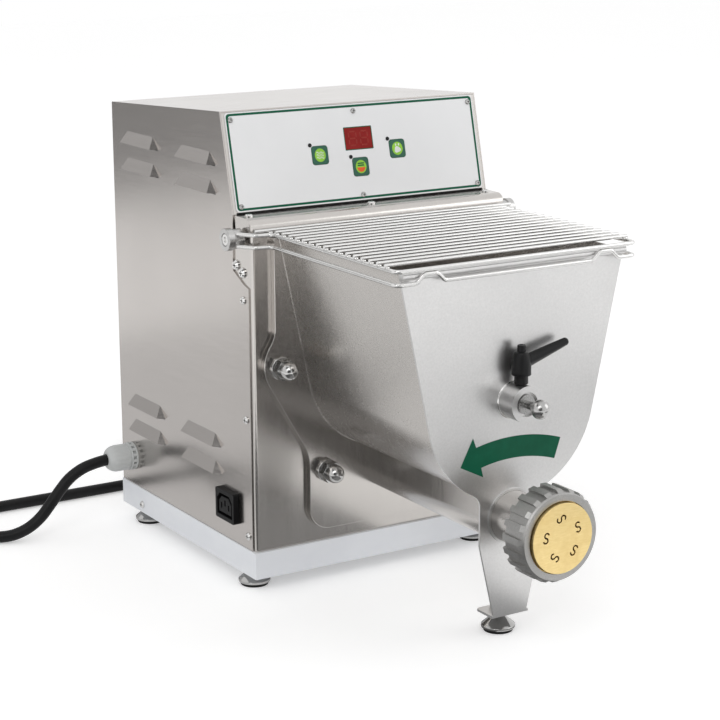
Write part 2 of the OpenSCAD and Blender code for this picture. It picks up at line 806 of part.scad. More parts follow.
module hinge_brackets() {
    color("silver") place() both_sides() difference() {
        translate([-bracket_x - bracket_t, bracket_y, notch_end_z + 3])
            cube([bracket_t, cover_flange_y - bracket_y, panel_foot_z - ledge_r - notch_end_z]);
        rod_x(hub_pin_r, -half_w, 0, hinge_y, hinge_z);
        for (s = bracket_screws) rod_x(2.3, -half_w, 0, s[0], s[1]);
    }
}

module hinge_pins() {
    tip = hub_x + hub_l;
    color("silver") place() both_sides() difference() {
        union() {
            rod_x(hub_pin_r, -tip + hub_head_l, -bracket_x + 3, hinge_y, hinge_z);
            rod_x(hub_head_r, -tip + 0.4, -tip + hub_head_l - gap, hinge_y, hinge_z);
            rod_x(hub_pin_r, -tip + hub_head_l - gap, -tip + hub_head_l, hinge_y, hinge_z);
        }
        translate([-tip - over, hinge_y, hinge_z]) rotate([0, 90, 0])
            cylinder(h = 2.4, r = 2.5, $fn = 6);
    }
}

module hinge_hubs() {
    tip = hub_x + hub_l;
    color("lightgray") place() both_sides() difference() {
        union() {
            rod_x(hub_r, -tip, -tip + hub_disc_l, hinge_y, hinge_z);
            rod_x(hub_r - 1, -tip + 1, -hub_x, hinge_y, hinge_z);
        }
        rod_x(hub_pin_r + run_fit, -tip - over, -hub_x + over, hinge_y, hinge_z);
        rod_x(hub_head_r + gap, -tip - over, -tip + hub_head_l, hinge_y, hinge_z);
    }
}

// Half of a frame wire, from the hub to the middle of the front
function half_rail(z) = [[-hub_x - 7, hinge_y - hub_r + 1.5, z], [-half_w + 1, hinge_run_y, z],
    [-rail_x, hinge_run_y - 3, z], [-rail_x, front_wire_y, z]];
function bump(s) = [for (q = [[-bump_foot, 0], [-bump_half, 1], [bump_half, 1], [bump_foot, 0]])
    [s * bump_x + q[0], front_wire_y, q[1] == 1 ? bump_z : rail_z - rail_drop]];
function mirrored(p) = [for (i = [len(p) - 1:-1:0]) [-p[i][0], p[i][1], p[i][2]]];

module lid_frame() {
    upper = half_rail(rail_z);
    lower = half_rail(rail_z - rail_drop);
    color("lightgray") place() {
        tube(rounded_path(concat(upper, mirrored(upper)), 4), rail_r, 10);
        tube(rounded_path(concat(lower, bump(-1), bump(1), mirrored(lower)), 2.5, 3), rail_r, 10);
    }
}

module lid_wires() {
    color("lightgray") place() for (i = [0:cross_count - 1]) {
        reach = i == cross_count - 1 ? half_w : rail_x + 2;
        rod_x(cross_r, -reach, reach, cross_first + i * cross_pitch, cross_z);
    }
}

module lid_switch() {
    color("dimgray") place() translate([bracket_x - lid_switch_size[0], gearbox_y + gap, lid_switch_z])
        cube(lid_switch_size);
}

// ---------- Fasteners ----------

module panel_screws() {
    color("lightgray") place() {
        both_sides() for (s = side_screws) translate([-half_w, s[0], s[1]])
            rotate([0, -90, 0]) pan_screw(screw_r, screw_h, 6);
        both_sides() for (s = bracket_screws) translate([-cover_half_w, s[0], s[1]])
            rotate([0, -90, 0]) pan_screw(bracket_screw_r, screw_h + 0.6, 5);
        both_sides() translate([-tray_half_w, tray_screw_y, tray_screw_z])
            rotate([0, -90, 0]) pan_screw(screw_r, screw_h, screw_reach);
        for (x = [-label_screw_x, 0, label_screw_x])
            translate([x, ledge_screw_y, panel_foot_z]) pan_screw(screw_r, screw_h, screw_reach);
        for (x = [-rear_screw_x, rear_screw_x], z = rear_screw_z)
            translate([x, rear_panel_y + sheet, z])
                rotate([-90, 0, 0]) pan_screw(screw_r, 1.8, screw_reach);
    }
}

module hex_y(flats, from, to) {
    translate([0, to, 0]) rotate([90, 0, 0]) cylinder(h = to - from, r = flats / sqrt(3), $fn = 6);
}

module stud_places() {
    both_sides() for (s = studs) translate([s[0], -rear_plate_t, s[1]]) children();
}

module bowl_studs() {
    color("lightgray") place() stud_places()
        rod_y(stud_r, -washer_t - nut_h, chassis_y + rear_plate_t);
}

module stud_washers() {
    color("silver") place() stud_places() difference() {
        rod_y(washer_r, -washer_t, 0);
        rod_y(stud_r + snug, -washer_t - over, over);
    }
}

module cap_nuts() {
    color("lightgray") place() stud_places() difference() {
        translate([0, -washer_t, 0]) union() {
            intersection() {
                hex_y(nut_flats, -nut_h, 0);
                translate([0, -nut_h + nut_flats * 1.8, 0]) sphere(nut_flats * 1.9);
            }
            rod_y(dome_r, -dome_h, -nut_h + over);
            translate([0, -dome_h, 0]) sphere(dome_r);
        }
        rod_y(stud_r + snug, -washer_t - nut_h - snug, over);
    }
}

// ---------- Bowl ----------

// Filled section of the bowl: a round bottom with leaning straight sides
module trough2d(r, top) {
    x0 = r * cos(bowl_flare);
    z0 = trough_z - r * sin(bowl_flare);
    x1 = x0 + (top - z0) * tan(bowl_flare);
    intersection() {
        translate([0, trough_z]) circle(r, $fn = 96);
        translate([-r, trough_z - r]) square([2 * r, top - trough_z + r]);
    }
    polygon([[-x0, z0], [-x1, top], [x1, top], [x0, z0]]);
}

// Fills the corner between a circle (centre c, radius r) and the line x = wall on its left
module corner_fill(c, r, wall, f, up) {
    fx = wall - f;
    fz = c[1] + up * sqrt(pow(r + f, 2) - pow(fx - c[0], 2));
    touch = c + [fx - c[0], fz - c[1]] * r / (r + f);
    difference() {
        polygon([[wall, fz], touch, c, [c[0], fz]]);
        translate([fx, fz]) circle(f);
    }
}

module bowl_rear_outline() {
    low_x = plate_low_w - plate_corner;
    low_z = plate_low_z - plate_corner;
    knee = [plate_low_w, knee_z];
    to_ear = [ear_x, ear_z] - knee;
    lean = atan2(to_ear[1], to_ear[0]) - asin(ear_r / norm(to_ear));
    edge = [cos(lean), sin(lean)];
    touch = knee + sqrt(to_ear * to_ear - ear_r * ear_r) * edge;
    cut = knee_fillet * tan((90 - lean) / 2);
    fill_low = knee - [0, cut];
    fill_top = knee + cut * edge;
    translate([-plate_half_w, ear_z]) square([2 * plate_half_w, rim_z - ear_z]);
    both_sides() {
        polygon([[-over, low_z], [low_x, low_z], [low_x, plate_low_z], [plate_low_w, plate_low_z],
            knee, touch, [ear_x, ear_z], [ear_x, ear_z + over], [-over, ear_z + over]]);
        translate([low_x, plate_low_z]) circle(plate_corner);
        translate([ear_x, ear_z]) circle(ear_r);
        corner_fill([-ear_x, ear_z], ear_r, -plate_half_w, ear_fillet, 1);
        difference() {
            polygon([fill_low, fill_top, [low_x, fill_top[1]], [low_x, fill_low[1]]]);
            translate([plate_low_w + knee_fillet, fill_low[1]]) circle(knee_fillet, $fn = 96);
        }
    }
}

module bowl_rear_plate() {
    color("silver") place() difference() {
        along_y(-rear_plate_t, 0) bowl_rear_outline();
        for (z = [mixer_z, auger_z]) rod_y(shaft_r + gap, -rear_plate_t - over, over, 0, z);
        stud_places() rod_y(stud_r + snug, -over, rear_plate_t + over);
    }
}

module feed_slot() {
    translate([-slot_half_w, -slot_front, auger_z])
        cube([2 * slot_half_w, slot_front - slot_rear, trough_z - auger_z]);
}

module bowl_shell() {
    color("silver") place() difference() {
        along_y(plate_back, -rear_plate_t) trough2d(trough_r, rim_z);
        along_y(plate_back - over, over) trough2d(trough_inner_r, rim_z + over);
        feed_slot();
    }
}

module front_outline() {
    r = trough_r + front_lip;
    half_leg = leg_w / 2;
    half_end = leg_end_w / 2;
    trough2d(r, rim_z);
    polygon([[-half_leg, trough_z - r + over + 6], [-half_leg, leg_knee_z],
        [-half_end, leg_bottom_z], [half_end, leg_bottom_z], [half_leg, leg_knee_z],
        [half_leg, trough_z - r + over + 6]]);
    both_sides() corner_fill([0, trough_z], r, -half_leg, leg_fillet, -1);
}

module bowl_front_plate() {
    rim_half = (trough_r + front_lip) * cos(bowl_flare)
        + (bead_z - trough_z + (trough_r + front_lip) * sin(bowl_flare)) * tan(bowl_flare);
    color("silver") place() difference() {
        union() {
            along_y(plate_front, plate_back) front_outline();
            rod_x(bead_r, -rim_half, rim_half, bead_y, bead_z);
            rod_y(boss_r, boss_front, plate_front, 0, mixer_z);
            rod_y(weld_r, plate_front - 1.5, plate_front, 0, auger_z);
            translate([0, plate_front, leg_bottom_z]) linear_extrude(height = tab_t) {
                translate([-tab_w / 2, 0]) square([tab_w, tab_d / 2]);
                translate([0, tab_d / 2]) round_box2d(tab_w, tab_d, tab_corner);
            }
        }
        rod_y(nozzle_r + snug, plate_front - 2 * over, plate_back + over, 0, auger_z);
        rod_y(pin_r + run_fit, boss_front - over, plate_back + over, 0, mixer_z);
        rod_y(boss_recess_r, boss_front - over, boss_front + boss_recess, 0, mixer_z);
        translate([0, lever_y, mixer_z]) cylinder(h = boss_r + over, r = lever_stud_r + gap);
        translate([0, foot_leg_y, leg_bottom_z - over])
            cylinder(h = tab_t + 2 * over, r = foot_stud_r + run_fit);
    }
}

// ---------- Extruder ----------

module extrusion_barrel() {
    color("silver") place() difference() {
        union() {
            difference() {
                along_y(plate_back, -rear_plate_t) union() {
                    translate([0, auger_z]) circle(barrel_r);
                    translate([-barrel_r, auger_z]) square([2 * barrel_r, barrel_r + 6]);
                }
                along_y(plate_back - over, over) trough2d(trough_r, rim_z);
                feed_slot();
            }
            rod_y(nozzle_r, head_front, plate_back, 0, auger_z);
            rod_y(head_r, head_front, head_front + head_l, 0, auger_z);
        }
        rod_y(bore_r, head_front - over, over, 0, auger_z);
        rod_y(chamber_r, head_front - over, head_front + chamber_l, 0, auger_z);
    }
}

module feed_auger() {
    flight_l = -head_front - 16;
    turns = 6;
    color("gainsboro") place() difference() {
        union() {
            rod_y(7.5, head_front + 5, -rear_plate_t - 1, 0, auger_z);
            translate([0, -10, auger_z]) rotate([90, 0, 0]) linear_extrude(height = flight_l,
                twist = -360 * turns, slices = 20 * turns)
                square([2 * auger_r, 4], center = true);
        }
        translate([-auger_key / 2 - 0.2, -auger_key_l - 1, auger_z - auger_key / 2 - 0.2])
            cube([auger_key + 0.4, auger_key_l - 1, auger_key + 0.4]);
    }
}

module extrusion_die() {
    color("gold") place() translate([0, 0, auger_z]) difference() {
        union() {
            rod_y(die_flange_r, head_front - die_flange_t, head_front);
            rod_y(die_r, -nut_reach, head_front - die_flange_t);
        }
        for (s = die_slots) rotate([0, -s[0], 0]) translate([die_slot_ring, 0, 0])
            rotate([0, s[0] + s[1], 0]) s_slot(-nut_reach - over, head_front + over);
    }
}

// An S-shaped slot: two hooks joined end to end
module s_slot(from, to) {
    r = 2.05;
    w = 1.2;
    along_y(from, to) for (s = [0, 180]) rotate(s) translate([0, r]) difference() {
        circle(r + w / 2);
        circle(r - w / 2);
        polygon([[0, 0], [0, -2 * r], [2 * r, -2 * r], [2 * r, r * 0.9]]);
    }
}

module ring_nut() {
    rib_r = nut_floor_r + nut_rib;
    root = nut_floor_r - 2;
    color("darkgray") place() translate([0, 0, auger_z]) difference() {
        union() {
            rod_y(nut_floor_r, rim_front + 1.5, nut_rear);
            translate([0, rim_front + 1.5, 0]) rotate([90, 0, 0])
                cylinder(h = 1.5, r1 = nut_floor_r, r2 = nut_rim_r);
            for (i = [0:nut_ribs - 1]) rotate([0, rib_turn + i * 360 / nut_ribs, 0])
                along_x(-rib_w / 2, rib_w / 2) polygon([[rim_front + 1, root],
                    [rim_front + 1, nut_floor_r - 0.6], [rim_front + 5, rib_r], [nut_rear + 1, rib_r],
                    [nut_rear + 1.5, rib_r - 0.5], [nut_rear + 1.5, root]]);
        }
        rod_y(die_r + nut_lip_clear, rim_front - over, nut_rear + 3);
        rod_y(head_r + gap, head_front - die_flange_t - gap, nut_rear + 3);
    }
}

// ---------- Mixing shaft and paddle ----------

module mixer_paddle() {
    color("gainsboro") place() translate([0, 0, mixer_z]) difference() {
        union() {
            rod_y(paddle_hub_r, plate_back + 4, -rear_plate_t - 1);
            for (i = [0:4]) rotate([0, 90 * i, 0]) translate([0, paddle_first - paddle_pitch * i, 0]) {
                rod_x(paddle_arm_r, 0, paddle_tip - blade[0] / 2);
                translate([paddle_tip - blade[0] / 2 - 2, 0, 0]) rotate([blade_lean, 0, 0])
                    cube(blade, center = true);
            }
        }
        rod_y(pin_r + gap, plate_back, pin_socket_y + gap);
        translate([-mixer_key / 2 - 0.2, -mixer_key_l - 1, -mixer_key / 2 - 0.2])
            cube([mixer_key + 0.4, mixer_key_l, mixer_key + 0.4]);
    }
}

module locking_pin() {
    color("lightgray") place() translate([0, 0, mixer_z]) {
        rod_y(pin_r, boss_front + boss_recess - 3.3, pin_socket_y);
        rod_y(8, boss_front + boss_recess - 3.3, boss_front + boss_recess - gap);
        rod_y(3.5, ball_y, boss_front + boss_recess - 3.3);
        translate([0, ball_y, 0]) sphere(ball_r);
    }
}

module clamp_lever() {
    color("black") place() translate([0, lever_y, lever_z]) {
        translate([0, 0, -boss_r + pin_r]) cylinder(h = boss_r - pin_r + over, r = lever_stud_r);
        cylinder(h = 7, r = 5.6);
        translate([0, 0, 7]) cylinder(h = 8, r = 8);
        translate([0, 0, 15]) cylinder(h = 11, r1 = 8, r2 = 5.3);
        translate([0, 0, 26]) cylinder(h = 5.5, r = 3.5);
        translate([0, 0, 16]) rotate([0, 90 - lever_tilt, 0]) {
            cylinder(h = lever_l, r1 = 4.6, r2 = lever_tip_r);
            translate([0, 0, lever_l]) sphere(lever_tip_r);
        }
    }
}

// ---------- Drive ----------

module mixer_gear() {
    color("slategray") place() translate([0, 0, mixer_z]) {
        rod_y(shaft_r, -rear_plate_t, gearbox_rear + gearbox_wall - 1);
        translate([-mixer_key / 2, -mixer_key_l, -mixer_key / 2])
            cube([mixer_key, mixer_key_l, mixer_key]);
        along_y(gears_y, gears_y + gear_t) gear2d(gear_r, gear_teeth, 4);
    }
}

module auger_gear() {
    color("slategray") place() translate([0, 0, auger_z]) {
        rod_y(shaft_r, -rear_plate_t, gearbox_rear + gearbox_wall - 1);
        translate([-auger_key / 2, -auger_key_l, -auger_key / 2])
            cube([auger_key, auger_key_l - 2, auger_key]);
        along_y(gears_y, gears_y + gear_t) gear2d(gear_r, gear_teeth, 4);
    }
}

module layshaft_gears() {
    color("slategray") place() translate([lay_x, 0, lay_z]) {
        rod_y(lay_shaft_r, gearbox_y + 1, gearbox_rear + gearbox_wall - 1);
        along_y(gears_y, gears_y + gear_t) gear2d(small_r, small_teeth, 3);
        along_y(wheels_y, wheels_y + wheel_t) gear2d(wheel_r, wheel_teeth, 4);
    }
}

module motor_rotor() {
    color("slategray") place() translate([0, 0, motor_z]) {
        rod_y(rotor_shaft_r - 2, wheels_y - 1, fan_y + fan_t + 2);
        rod_y(rotor_shaft_r, gearbox_rear + 1, motor_y + motor_l);
        rod_y(rotor_r - 1, motor_y + 18, motor_y + motor_l - 18);
        along_y(wheels_y, wheels_y + wheel_t) gear2d(pinion_r, pinion_teeth, 3);
    }
}

module cooling_fan() {
    color("black") place() translate([0, 0, motor_z]) difference() {
        union() {
            rod_y(14, fan_y, fan_y + fan_t);
            rod_y(fan_r, fan_y, fan_y + 2);
            for (i = [0:7]) rotate([0, 45 * i, 0])
                translate([10, fan_y, -1]) cube([fan_r - 11, fan_t, 2]);
        }
        rod_y(rotor_shaft_r - 2 + run_fit, fan_y - over, fan_y + fan_t + over);
    }
}

module gearbox_housing() {
    w = gearbox_right - gearbox_left;
    h = gearbox_top - gearbox_low;
    color("lightslategray") place() difference() {
        translate([gearbox_left, gearbox_y, gearbox_low]) cube([w, gearbox_rear - gearbox_y, h]);
        translate([gearbox_left + gearbox_wall, gearbox_y + gearbox_wall,
            gearbox_low + gearbox_wall - 2]) cube([w - 2 * gearbox_wall, gearbox_rear,
            h - 2 * gearbox_wall + 4]);
        for (z = [mixer_z, auger_z]) rod_y(bearing_r + snug, 0, gearbox_rear, 0, z);
        rod_y(small_bearing_r + snug, 0, gearbox_rear, lay_x, lay_z);
    }
}

module gearbox_cover() {
    rear = gearbox_rear + gearbox_wall;
    color("lightslategray") place() difference() {
        translate([gearbox_left, gearbox_rear, gearbox_low])
            cube([gearbox_right - gearbox_left, gearbox_wall, gearbox_top - gearbox_low]);
        for (z = [mixer_z, auger_z]) rod_y(bearing_r + snug, 0, rear + over, 0, z);
        rod_y(small_bearing_r + snug, 0, rear + over, lay_x, lay_z);
        rod_y(rotor_shaft_r + 1, 0, rear + over, 0, motor_z);
    }
}

module motor_housing() {
    rear = motor_y + motor_l;
    color("steelblue") place() translate([0, 0, motor_z]) difference() {
        union() {
            rod_y(motor_r - 6, motor_y, rear);
            for (i = [0:15]) rotate([0, 22.5 * i, 0])
                translate([motor_r - 8, motor_y + 12, -1]) cube([8, motor_l - 24, 2]);
            rod_y(motor_r, motor_y, motor_y + 10);
            rod_y(motor_r, rear - 10, rear);
        }
        rod_y(rotor_r + gap, motor_y + motor_wall, rear - motor_wall);
        rod_y(rotor_shaft_r + run_fit, motor_y - over, rear + over);
    }
}

module fan_cover() {
    start = motor_y + motor_l;
    color("dimgray") place() translate([0, 0, motor_z]) difference() {
        rod_y(motor_r, start, start + fan_cover_l);
        rod_y(motor_r - 2, start - over, start + fan_cover_l - 2);
        for (r = [16:10:46]) difference() {
            rod_y(r + 3, start, start + fan_cover_l + over);
            rod_y(r - 3, start - over, start + fan_cover_l + 2 * over);
            for (a = [0, 90]) rotate([0, a, 0]) translate([-motor_r, start, -3])
                cube([2 * motor_r, 2 * fan_cover_l, 6]);
        }
    }
}

module ring_y(outer, inner, from, to) {
    difference() {
        rod_y(outer, from, to);
        rod_y(inner, from - over, to + over);
    }
}

module shaft_bearings() {
    color("lightgray") place() for (y = [gearbox_y, gearbox_rear]) {
        for (z = [mixer_z, auger_z]) translate([0, 0, z])
            ring_y(bearing_r, shaft_r + run_fit, y, y + gearbox_wall);
        translate([lay_x, 0, lay_z])
            ring_y(small_bearing_r, lay_shaft_r + run_fit, y, y + gearbox_wall);
    }
}

module shaft_seals() {
    color("black") place() for (z = [mixer_z, auger_z]) translate([0, 0, z])
        ring_y(bearing_r - snug, shaft_r + run_fit, 0, gearbox_y);
}

// ---------- Electrical fittings ----------

// Outline of the socket's core: two of its corners are cut
module outlet_core2d(inset) {
    w = 23 / 2 - inset;
    h = 15.5 / 2 - inset;
    polygon([[-w, -h], [w, -h], [w, h - 5], [w - 5, h], [-w + 5, h], [-w, h - 5]]);
}

module power_outlet() {
    color("black") place() translate([-half_w, outlet_y, outlet_z]) {
        difference() {
            union() {
                along_x(-outlet_t, 0) round_box2d(outlet_w, outlet_h, 2);
                translate([0, -outlet_body_w / 2, -outlet_body_h / 2])
                    cube([24, outlet_body_w, outlet_body_h]);
            }
            along_x(-outlet_t - over, 14) outlet_core2d(-2);
        }
        difference() {
            along_x(-outlet_t + 0.6, 15) outlet_core2d(0.4);
            for (p = [[-6.5, -1.2], [0, 1.8], [6.5, -1.2]]) translate([-outlet_t, p[0] - 1, p[1] - 2.6])
                cube([12, 2, 5.2]);
        }
    }
}

module cable_gland() {
    color("lightgray") place() translate([-half_w, gland_y, gland_z]) difference() {
        union() {
            difference() {
                rod_x(gland_rim_r, -gland_rim_l, 0);
                for (a = [0:24:336]) rotate([a, 0, 0])
                    translate([-gland_rim_l + 1.5, gland_rim_r - 0.8, -1.3]) cube([2.6, 2, 2.6]);
            }
            rotate([0, -90, 0]) translate([0, 0, gland_rim_l])
                cylinder(h = 13, r = gland_r, $fn = 12);
            translate([-gland_end, 0, 0]) rotate([0, 90, 0])
                cylinder(h = gland_end - gland_rim_l - 12, r1 = gland_r - 4, r2 = gland_r - 0.4);
            rod_x(8, 0, 14);
            rod_x(gland_r - 0.5, sheet, sheet + 6);
        }
        rod_x(cord_r + snug, -gland_end - over, 16);
    }
}

module mains_cord() {
    color("black") place() tube(smooth_path(cord_route, 4), cord_r, 10);
}

module cord_coil() {
    color("black") place() translate([coil_x, coil_y, 0]) rotate_extrude() {
        translate([coil_mid_r - coil_half_w + 3, 0.2]) square([2 * coil_half_w - 6, coil_h]);
        translate([coil_mid_r - coil_half_w, 3.2]) square([2 * coil_half_w, coil_h - 6]);
    }
}

module mains_plug() {
    z = plug_r + 0.3;
    color("black") place() {
        rod_x(cord_r + 1, plug_x, plug_x + plug_relief, plug_y, coil_h - cord_r);
        rod_x(plug_r, plug_x - plug_l, plug_x, plug_y, z);
        for (s = [-1, 1]) rod_x(plug_pin[0], plug_x - plug_l - plug_pin[1], plug_x - plug_l,
            plug_y + plug_pin[2] * s, z);
    }
}

module run_capacitor() {
    color("white") place() translate([capacitor_place[0], capacitor_place[1], tray_floor_z]) {
        cylinder(h = capacitor_h, r = capacitor_r);
        for (x = [-5, 5]) translate([x - 3, -0.4, capacitor_h]) cube([6, 0.8, 8]);
    }
}

module terminal_block() {
    pole = (terminal_size[0] - 3) / 5;
    color("gray") place() translate([50 - half_w, cabinet_d - 37, tray_floor_z]) {
        cube(terminal_size);
        for (i = [0:4]) translate([3 + pole * i, 4, terminal_size[2]])
            cube([pole - 3, terminal_size[1] - 8, 6]);
    }
}

// ---------- Feet ----------

// A screw foot: rim and cone below, a stud with a nut above the sheet that it carries
module foot(sheet_low, sheet_t) {
    cone_top = min(sheet_low - gap, foot_pad_h + foot_rim_h + 8);
    nut_z = sheet_low + sheet_t + gap;
    translate([0, 0, foot_pad_h]) cylinder(h = foot_rim_h, r = foot_r);
    translate([0, 0, foot_pad_h + foot_rim_h])
        cylinder(h = cone_top - foot_pad_h - foot_rim_h, r1 = foot_r, r2 = foot_neck_r);
    translate([0, 0, foot_pad_h]) cylinder(h = sheet_low - gap - foot_pad_h, r = foot_neck_r);
    translate([0, 0, foot_pad_h]) cylinder(h = nut_z + 10 - foot_pad_h, r = foot_stud_r);
    translate([0, 0, nut_z]) cylinder(h = 6, r = foot_nut_r, $fn = 6);
}

module corner_foot(i) {
    color("darkgray") place() translate(concat(corner_feet[i], 0)) foot(tray_clear, tray_wall);
}

module foot_front_left() {
    corner_foot(0);
}

module foot_front_right() {
    corner_foot(1);
}

module foot_rear_left() {
    corner_foot(2);
}

module foot_rear_right() {
    corner_foot(3);
}

module foot_bowl_leg() {
    color("darkgray") place() translate([0, foot_leg_y, 0]) foot(leg_bottom_z, tab_t);
}

module foot_pads() {
    color("black") place() for (p = concat(corner_feet, [[0, foot_leg_y]]))
        translate(concat(p, 0)) cylinder(h = foot_pad_h, r = foot_pad_r);
}

base_tray();
casing_shell();
rear_panel();
front_cover();
chassis_frame();
control_backing();
label_plate();
label_screws();
display_window();
control_board();
status_leds();
hinge_brackets();
hinge_pins();
panel_screws();
bowl_rear_plate();
bowl_shell();
bowl_front_plate();
extrusion_barrel();
bowl_studs();
stud_washers();
cap_nuts();
gearbox_housing();
gearbox_cover();
motor_housing();
fan_cover();
shaft_bearings();
shaft_seals();
power_outlet();
cable_gland();
mains_cord();
cord_coil();
mains_plug();
run_capacitor();
terminal_block();
lid_switch();
foot_pads();
key_left();
key_centre();
key_right();
lid_frame();
lid_wires();
hinge_hubs();
mixer_gear();
mixer_paddle();
auger_gear();
feed_auger();
layshaft_gears();
motor_rotor();
cooling_fan();
locking_pin();
clamp_lever();
ring_nut();
extrusion_die();
foot_front_left();
foot_front_right();
foot_rear_left();
foot_rear_right();
foot_bowl_leg();
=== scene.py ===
"""Finishes, wire lid, clamp lever, label prints, mains cord and stage of an electric pasta maker.

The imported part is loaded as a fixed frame; every piece made here is placed in the same
frame, in metres, and rides on one of its bodies.
"""

import math

import bmesh
import bpy
from bpy.props import FloatProperty, FloatVectorProperty, IntProperty, PointerProperty
from bpy.types import Operator, Panel, PropertyGroup
from mathutils import Matrix, Vector


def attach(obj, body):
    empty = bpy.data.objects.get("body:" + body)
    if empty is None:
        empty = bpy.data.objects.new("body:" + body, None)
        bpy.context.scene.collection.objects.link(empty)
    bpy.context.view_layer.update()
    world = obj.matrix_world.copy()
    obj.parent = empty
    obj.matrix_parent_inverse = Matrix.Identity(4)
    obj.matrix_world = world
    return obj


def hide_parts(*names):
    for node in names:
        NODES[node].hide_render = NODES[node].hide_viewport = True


bl_info = {
    "name": "Pasta Maker Finishes",
    "version": (1, 0, 0),
    "blender": (4, 5, 0),
    "location": "3D View > Sidebar > Pasta Maker",
    "description": "Finishes, small pieces, mains cord and stage for an electric pasta maker",
    "category": "Object",
}

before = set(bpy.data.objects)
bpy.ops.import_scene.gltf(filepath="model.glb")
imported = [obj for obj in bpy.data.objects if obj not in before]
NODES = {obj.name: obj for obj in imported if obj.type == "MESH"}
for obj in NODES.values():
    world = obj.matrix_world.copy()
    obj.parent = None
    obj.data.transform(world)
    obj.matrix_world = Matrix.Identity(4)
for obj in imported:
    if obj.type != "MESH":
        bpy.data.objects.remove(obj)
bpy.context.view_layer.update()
MM = 0.001

# Places taken from the part, in metres
PANEL_FOOT = Vector((0, 0.030, 0.328))
PANEL_TILT = math.atan2(20.5, 85.0)
LABEL_FACE = -0.0008
KEY_FACE = -0.0011
KEY_PLACES = {"left": (-0.0385, 0.0435), "centre": (0.001, 0.0305), "right": (0.0405, 0.0435)}
DISPLAY_PLACE = (0.002, 0.0555)
PLATE_FACE_Y = -0.194
BOSS_Z = 0.200


# ---------- Sizes and colours that a user would change ----------


class SteelSettings(PropertyGroup):
    satin: FloatVectorProperty(
        name="Satin steel", description="Colour of the bowl and the front cover",
        default=(0.70, 0.695, 0.69), size=3, subtype="COLOR", min=0, max=1)
    side: FloatVectorProperty(
        name="Side panels", description="Colour of the casing's warm grey steel",
        default=(0.55, 0.52, 0.498), size=3, subtype="COLOR", min=0, max=1)
    polished: FloatVectorProperty(
        name="Polished steel", description="Colour of wires, nuts and screws",
        default=(0.74, 0.735, 0.725), size=3, subtype="COLOR", min=0, max=1)
    edge: FloatProperty(
        name="Edge rounding", description="Rounding of the sheet metal's edges",
        default=0.0004, min=0, max=0.002, unit="LENGTH")


class LabelSettings(PropertyGroup):
    print_colour: FloatVectorProperty(
        name="Print", description="Colour of the border line and of the arrow",
        default=(0.001, 0.092, 0.046), size=3, subtype="COLOR", min=0, max=1)
    lime: FloatVectorProperty(
        name="Lime", description="Colour of the ovals on the keys",
        default=(0.30, 0.62, 0.06), size=3, subtype="COLOR", min=0, max=1)
    border: FloatProperty(
        name="Border width", description="Width of the line around the label",
        default=0.0020, min=0.0005, max=0.005, unit="LENGTH")
    border_inset: FloatProperty(
        name="Border inset", description="Distance of the line from the label's edge",
        default=0.0010, min=0, max=0.01, unit="LENGTH")
    ink: FloatProperty(
        name="Ink thickness", description="Thickness of printed areas",
        default=0.00006, min=0.00001, max=0.0005, unit="LENGTH")


class LidSettings(PropertyGroup):
    wire: FloatProperty(
        name="Frame wire", description="Radius of the frame wires",
        default=0.00175, min=0.001, max=0.003, unit="LENGTH")
    bend: FloatProperty(
        name="Bend radius", description="Radius of the corners of the frame",
        default=0.0055, min=0.003, max=0.015, unit="LENGTH")
    weld: FloatProperty(
        name="Weld spot", description="Radius of the spots that join the wires",
        default=0.0021, min=0.001, max=0.004, unit="LENGTH")


class LeverSettings(PropertyGroup):
    reach: FloatProperty(
        name="Reach", description="Length of the arm from the lever's axis",
        default=0.044, min=0.03, max=0.06, unit="LENGTH")
    tilt: FloatProperty(
        name="Tilt", description="Rise of the arm over the level",
        default=math.radians(16), min=0, max=math.radians(40), unit="ROTATION")
    flutes: IntProperty(
        name="Flutes", description="Number of grooves around the hub", default=10, min=4, max=24)


class CordSettings(PropertyGroup):
    radius: FloatProperty(
        name="Radius", description="Radius of the mains cord",
        default=0.0054, min=0.004, max=0.0055, unit="LENGTH")
    coil: FloatProperty(
        name="Coil radius", description="Radius at the middle of the coil's turns",
        default=0.0648, min=0.06, max=0.07, unit="LENGTH")
    pitch: FloatProperty(
        name="Turn pitch", description="Distance between turns that touch",
        default=0.0111, min=0.0108, max=0.012, unit="LENGTH")


class StageSettings(PropertyGroup):
    floor: FloatVectorProperty(
        name="Floor", description="Colour of the floor",
        default=(0.86, 0.86, 0.86), size=3, subtype="COLOR", min=0, max=1)
    glow: FloatProperty(
        name="Floor glow", description="Lifts the floor to white where it is seen or reflected",
        default=0.34, min=0, max=1)
    sky: FloatProperty(
        name="Soft light", description="Strength of the light from all sides",
        default=0.74, min=0, max=2)
    key: FloatProperty(
        name="Key lamp", description="Power of the large lamp at the front left",
        default=32, min=0, max=500, unit="POWER")
    fill: FloatProperty(
        name="Fill lamp", description="Power of the lamp at the right",
        default=17, min=0, max=500, unit="POWER")
    lens: FloatProperty(
        name="Lens", description="Focal length for a 36 mm sensor", default=101.61, min=20, max=300)


SETTINGS = {
    "pasta_steel": SteelSettings,
    "pasta_label": LabelSettings,
    "pasta_lid": LidSettings,
    "pasta_lever": LeverSettings,
    "pasta_cord": CordSettings,
    "pasta_stage": StageSettings,
}


# ---------- Shader groups that several finishes share ----------


